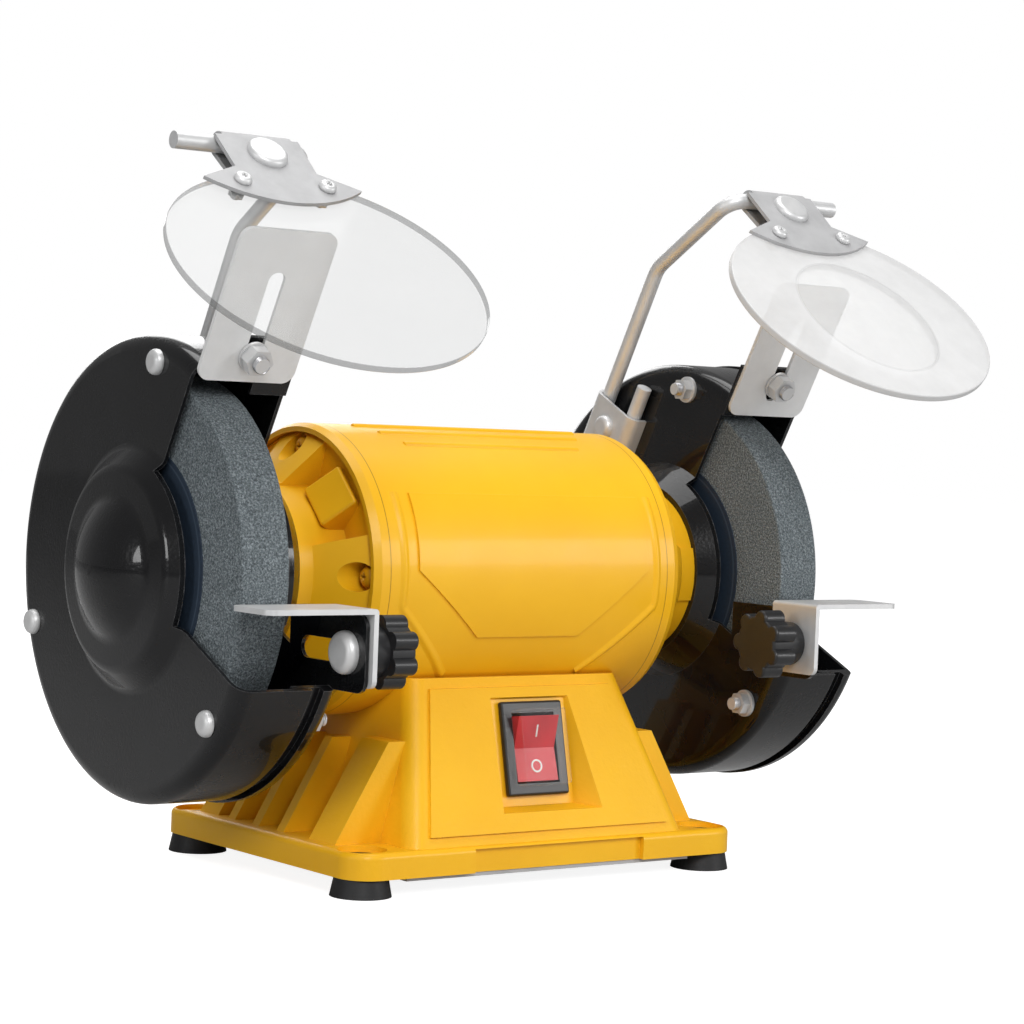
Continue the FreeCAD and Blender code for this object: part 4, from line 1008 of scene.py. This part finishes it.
@dataclass
class Switch(SubAssembly):
    """Rocker switch with its marks and clear cover."""

    centre: Point = (2.5, -49.45, 51.2)
    lean: float = 12.6
    mark_ring: float = 2.3
    mark_wire: float = 0.35
    mark_height: float = 0.6
    bar_length: float = 5.0
    ring_points: int = 56
    ring_bevel: float = 0.08
    bar_bevel: float = 0.12
    ring_place: tuple[float, float] = (-7.2, 2.1)
    ring_slope: float = -3.5
    bar_place: tuple[float, float] = (6.6, 4.35)
    bar_slope: float = 22.0

    @property
    def members(self) -> list[str]:
        """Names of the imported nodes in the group."""
        return ["switch_frame", "switch_rocker", "switch_boot"]

    def at(self, up: float, out: float) -> Vector:
        """A point over the switch's middle line.

        Args:
            up: distance up the switch in mm.
            out: distance off its plate in mm.

        Returns:
            The point in metres.
        """
        rise, run = math.cos(math.radians(self.lean)), math.sin(math.radians(self.lean))
        move = Vector((0.0, up * run - out * rise, up * rise + out * run))
        return (Vector(self.centre) + move) * MM

    def stand(self, place: tuple[float, float], slope: float) -> Matrix:
        """Moves a flat mark onto a rocker face.

        Args:
            place: distances up the switch and off its plate in mm.
            slope: tilt of the face against the plate in degrees, positive with its upper edge further out.

        Returns:
            The move from the XY plane.
        """
        turn = Matrix.Rotation(math.radians(90.0 - self.lean + slope), 4, "X")
        return Matrix.Translation(self.at(*place)) @ turn

    def build(self) -> None:
        """Adds the off ring and the on bar."""
        self.add_ring()
        self.add_bar()

    def add_ring(self) -> None:
        """Models the off mark as a raised ring on the rocker's lower face."""
        bpy.ops.object.select_all(action="DESELECT")
        inner, outer = self.mark_ring - self.mark_wire, self.mark_ring + self.mark_wire
        bpy.ops.mesh.primitive_circle_add(vertices=self.ring_points, radius=inner * MM, fill_type="NOTHING")
        ring = bpy.context.object
        with editing():
            bpy.ops.mesh.extrude_edges_move()
            bpy.ops.transform.resize(value=(outer / inner, outer / inner, 1.0),
                                     center_override=(0.0, 0.0, 0.0))
        self.shop.apply(ring, "SOLIDIFY", thickness=self.mark_height * MM, offset=0.0)
        self.shop.apply(ring, "BEVEL", width=self.ring_bevel * MM, segments=2)
        ring.matrix_world = self.stand(self.ring_place, self.ring_slope)
        self.shop.finish_new(ring, "rocker_off_mark", "rocker", "red_plastic", MARKING)

    def add_bar(self) -> None:
        """Models the on mark as a raised bar on the rocker's upper face."""
        bpy.ops.object.select_all(action="DESELECT")
        bpy.ops.mesh.primitive_cube_add(size=1.0)
        bar = bpy.context.object
        size = (2.0 * self.mark_wire * MM, self.bar_length * MM, self.mark_height * MM)
        with editing():
            bpy.ops.transform.resize(value=size)
        self.shop.apply(bar, "BEVEL", width=self.bar_bevel * MM, segments=2)
        bar.matrix_world = self.stand(self.bar_place, self.bar_slope)
        self.shop.finish_new(bar, "rocker_on_mark", "rocker", "red_plastic", MARKING)


@dataclass
class Motor(SubAssembly):
    """Motor housing, end bells and what lies inside them."""

    screw_circle: float = 48.5
    screws_each_end: int = 4
    wall: float = 58.0
    panel_middle: float = -2.5
    ridge_half: float = 63.0
    ridge_foot_half: float = 33.5
    ridge_levels: tuple[float, float, float] = (152.0, 108.0, 80.5)
    ridge_grid: tuple[int, int] = (72, 8)
    ridge_width: float = 4.5
    ridge_height: float = 0.9
    ridge_seat: float = 0.05
    ridge_sink: float = 0.6

    @property
    def members(self) -> list[str]:
        """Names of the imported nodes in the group."""
        return ["motor_housing", "left_end_bell", "right_end_bell", "end_bell_screws", "stator_core",
                "stator_windings", "bearings"]

    def add_ridge(self, side: Side) -> None:
        """Models a soft ridge beside the housing's panel and lays it on the housing's wall.

        Args:
            side: the panel's end that it runs along.
        """
        bpy.ops.object.select_all(action="DESELECT")
        columns, rows = self.ridge_grid
        bpy.ops.mesh.primitive_grid_add(x_subdivisions=columns, y_subdivisions=rows, size=1.0)
        ridge = bpy.context.object
        halves = (self.ridge_half, self.ridge_half, self.ridge_foot_half)
        points = [Vector((self.panel_middle + side.value * half, level))
                  for half, level in zip(halves, self.ridge_levels)]
        spans = [(b - a).length for a, b in zip(points, points[1:])]
        for vertex in ridge.data.vertices:
            along = (vertex.co.x + 0.5) * sum(spans)
            step = 0 if along <= spans[0] else 1
            run = (points[step + 1] - points[step]).normalized()
            across = Vector((-run.y, run.x)) * vertex.co.y * self.ridge_width
            spot = points[step] + run * (along - step * spans[0]) + across
            up = spot.y - SPINDLE_Z
            depth = math.sqrt(max(0.0, self.wall ** 2 - up ** 2))
            rise = self.ridge_height * math.cos(math.pi * vertex.co.y) ** 2
            out = Vector((0.0, -depth, up)).normalized() * (self.wall + rise - self.ridge_seat)
            vertex.co = Vector((spot.x, 0.0, 0.0)) * MM + out * MM + SPINDLE
        offset = 1.0 if self.faces_in(ridge) else -1.0
        self.shop.apply(ridge, "SOLIDIFY", thickness=self.ridge_sink * MM, offset=offset)
        self.shop.tidy_normals(ridge)
        name = side.node("housing_ridge")
        self.shop.finish_new(ridge, name, "frame", "yellow_housing", FINISHES["yellow_housing"])

    def faces_in(self, ridge: bpy.types.Object) -> bool:
        """Tells whether a ridge's sheet faces the spindle.

        Args:
            ridge: the sheet.

        Returns:
            True where its normals point inwards.
        """
        return sum(face.normal.y for face in ridge.data.polygons) > 0.0

    def build(self) -> None:
        """Adds the housing's ridges and cuts the cross recesses of the end bells' screws."""
        for side in Side:
            self.add_ridge(side)
        low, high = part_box("end_bell_screws")
        recesses = []
        for side, crown in ((Side.LEFT, low.x / MM), (Side.RIGHT, high.x / MM)):
            for turn in range(self.screws_each_end):
                place = about_spindle(self.screw_circle, 360.0 / self.screws_each_end * turn)
                recesses.append(CrossRecess((crown, *place), (side.value, 0.0, 0.0)))
        self.shop.cut_crosses("end_bell_screws", recesses)


@dataclass
class Rotor(SubAssembly):
    """Spindle, wheels and what clamps them."""

    @property
    def members(self) -> list[str]:
        """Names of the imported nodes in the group."""
        return ["spindle", "rotor_core", "left_wheel", "right_wheel", "wheel_labels", "wheel_flanges",
                "spindle_nuts"]


@dataclass
class Guards(SubAssembly):
    """Wheel guards with their bolts and screws."""

    bolt_circle: float = 80.0
    bolt_angles: tuple[float, ...] = (101.0, -19.0, -139.0)
    thread_start: float = 102.6
    thread_radius: float = 2.45

    @property
    def members(self) -> list[str]:
        """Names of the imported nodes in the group."""
        pans = [side.node(name) for side in Side for name in ("guard_cover", "guard_inner")]
        return pans + ["guard_bolts", "guard_nuts", "guard_mount_screws"]

    def build(self) -> None:
        """Adds the threads of the guard bolts behind their nuts."""
        places = [about_spindle(self.bolt_circle, angle) for angle in self.bolt_angles]
        ends = [ThreadEnd((side.value * self.thread_start, *place), (side.value, 0.0, 0.0),
                          self.thread_radius)
                for side in Side for place in places]
        self.shop.add_threads("guard_bolt_threads", "frame", "bright_steel", ends)


@dataclass
class Fittings(SubAssembly):
    """Spark arrestors and tool rests."""

    thread_start: Point = (131.25, -49.35, 198.45)
    thread_drop: float = 28.5
    thread_radius: float = 2.95

    @property
    def members(self) -> list[str]:
        """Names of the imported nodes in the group."""
        names = ("spark_plate", "tool_rest", "rest_bolt", "rest_knob")
        return [side.node(name) for side in Side for name in names] + ["spark_bolts", "spark_nuts"]

    def build(self) -> None:
        """Adds the threads of the spark plates' bolts in front of their nuts."""
        x, y, z = self.thread_start
        drop = math.radians(self.thread_drop)
        run = (0.0, -math.cos(drop), -math.sin(drop))
        ends = [ThreadEnd((side.value * x, y, z), run, self.thread_radius) for side in Side]
        self.shop.add_threads("spark_bolt_threads", "frame", "bright_steel", ends)


@dataclass
class Shields(SubAssembly):
    """Eye shields on their bent rods."""

    pivot_x: float = 131.0
    screw_half: float = 18.2
    screw_crown: tuple[float, float] = (-63.26, 265.63)
    recess_arm: float = 3.6
    recess_width: float = 0.9
    recess_depth: float = 1.3

    @property
    def members(self) -> list[str]:
        """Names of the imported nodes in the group."""
        names = ("shield_rod", "rod_clamp", "shield_bracket", "bracket_bolt", "lens_screws", "lens")
        return [side.node(name) for side in Side for name in names] + ["rod_clamp_screws"]

    def build(self) -> None:
        """Cuts the cross recesses of the lens screws."""
        for side in Side:
            middle = side.value * self.pivot_x
            recesses = [CrossRecess((x, *self.screw_crown), SHIELD_NORMAL, self.recess_arm, self.recess_width,
                                    self.recess_depth)
                        for x in (middle - self.screw_half, middle + self.screw_half)]
            self.shop.cut_crosses(side.node("lens_screws"), recesses)


@dataclass(frozen=True)
class Softbox:
    """A square studio light that faces the machine."""

    name: str
    place: Point
    size: float
    power: float

    def hang(self, target: Vector) -> None:
        """Adds the light to the scene.

        Args:
            target: the point it faces.
        """
        bpy.ops.object.select_all(action="DESELECT")
        bpy.ops.object.light_add(type="AREA", location=self.place)
        lamp = bpy.context.object
        lamp.name = self.name
        lamp.data.shape = "SQUARE"
        lamp.data.size = self.size
        lamp.data.energy = self.power
        lamp.rotation_euler = (target - Vector(self.place)).to_track_quat("-Z", "Y").to_euler()


@dataclass
class Studio:
    """Pale floor, even surroundings, soft lights and the camera."""

    lights: tuple[Softbox, ...] = (
        Softbox("key", (-0.8, -1.6, 1.2), 0.8, 22.0),
        Softbox("right", (1.1, -1.4, 0.55), 0.5, 8.0),
        Softbox("top", (0.1, 0.2, 1.7), 1.3, 17.0),
        Softbox("left", (-1.7, -0.3, 0.5), 0.4, 4.0),
        Softbox("back", (0.7, 1.7, 0.9), 1.0, 9.0),
    )
    azimuth: float = -37.32
    elevation: float = 1.76
    roll: float = 2.27
    lens: float = 97.8
    position: Point = (-0.6773, -0.92205, 0.1791)
    sensor: float = 36.0
    clip: tuple[float, float] = (0.01, 50.0)
    aim: Point = (0.0, 0.0, 0.15)
    surroundings: Colour = grey(0.95)
    brightness: float = 0.25
    floor_size: float = 12.0
    floor_tones: tuple[float, float] = (0.42, 0.46)
    floor_glow: float = 0.88

    def set_floor(self) -> None:
        """Adds the pale floor, which glows to the camera alone so that it meets the white surroundings."""
        bpy.ops.object.select_all(action="DESELECT")
        bpy.ops.mesh.primitive_plane_add(size=self.floor_size, location=(0.0, 0.0, 0.0))
        floor = bpy.context.object
        floor.name = "studio_floor"
        graph = Graph("pale_floor")
        speckle = graph.noise(scale=9.0, detail=3.0)
        dark, light = (grey(tone) for tone in self.floor_tones)
        graph.feed("Base Color", graph.ramp(speckle, [(0.3, dark), (0.7, light)]))
        graph.set(roughness=0.7, emission_color=grey(1.0))
        seen = graph.add("ShaderNodeLightPath").outputs["Is Camera Ray"]
        graph.feed("Emission Strength", graph.levels(seen, 0.0, self.floor_glow))
        floor.data.materials.append(graph.material)

    def set_light(self) -> None:
        """Adds the lights and the surroundings, white to the camera and dimmer to other rays."""
        world = bpy.data.worlds.new("studio")
        world.use_nodes = True
        tree = world.node_tree
        dim = tree.nodes["Background"]
        dim.inputs["Color"].default_value = self.surroundings
        dim.inputs["Strength"].default_value = self.brightness
        bright = tree.nodes.new("ShaderNodeBackground")
        bright.inputs["Color"].default_value = grey(1.0)
        seen = tree.nodes.new("ShaderNodeLightPath")
        mix = tree.nodes.new("ShaderNodeMixShader")
        tree.links.new(seen.outputs["Is Camera Ray"], mix.inputs[0])
        tree.links.new(dim.outputs[0], mix.inputs[1])
        tree.links.new(bright.outputs[0], mix.inputs[2])
        tree.links.new(mix.outputs[0], tree.nodes["World Output"].inputs["Surface"])
        bpy.context.scene.world = world
        bpy.context.scene.view_settings.view_transform = "Standard"
        for light in self.lights:
            light.hang(Vector(self.aim))

    def set_camera(self) -> None:
        """Adds the camera at the photograph's view."""
        a, e, r = (math.radians(value) for value in (self.azimuth, self.elevation, self.roll))
        back = Vector((math.sin(a) * math.cos(e), -math.cos(a) * math.cos(e), math.sin(e)))
        right = Vector((math.cos(a), math.sin(a), 0.0))
        up = back.cross(right)
        right, up = right * math.cos(r) + up * math.sin(r), up * math.cos(r) - right * math.sin(r)
        data = bpy.data.cameras.new("view")
        data.lens = self.lens
        data.sensor_width = self.sensor
        data.clip_start, data.clip_end = self.clip
        camera = bpy.data.objects.new("view", data)
        bpy.context.scene.collection.objects.link(camera)
        turn = Matrix((right, up, back)).transposed().to_4x4()
        camera.matrix_world = Matrix.Translation(Vector(self.position)) @ turn
        bpy.context.scene.camera = camera


def main() -> None:
    """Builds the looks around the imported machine."""
    logging.basicConfig(level=logging.INFO, format="%(name)s: %(message)s")
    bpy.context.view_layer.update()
    slots = {entry["node"]: entry["material_slot"] for entry in frame["record"]["subparts"]}
    shop = Workshop(frame["nodes"], slots)
    for kind in (Base, Switch, Motor, Rotor, Guards, Fittings, Shields):
        part = kind(shop)
        part.build()
        part.dress()
        LOG.info("%s: %d nodes finished", type(part).__name__, len(part.members))
    studio = Studio()
    studio.set_floor()
    studio.set_light()
    studio.set_camera()


if __name__ == "__main__":
    main()
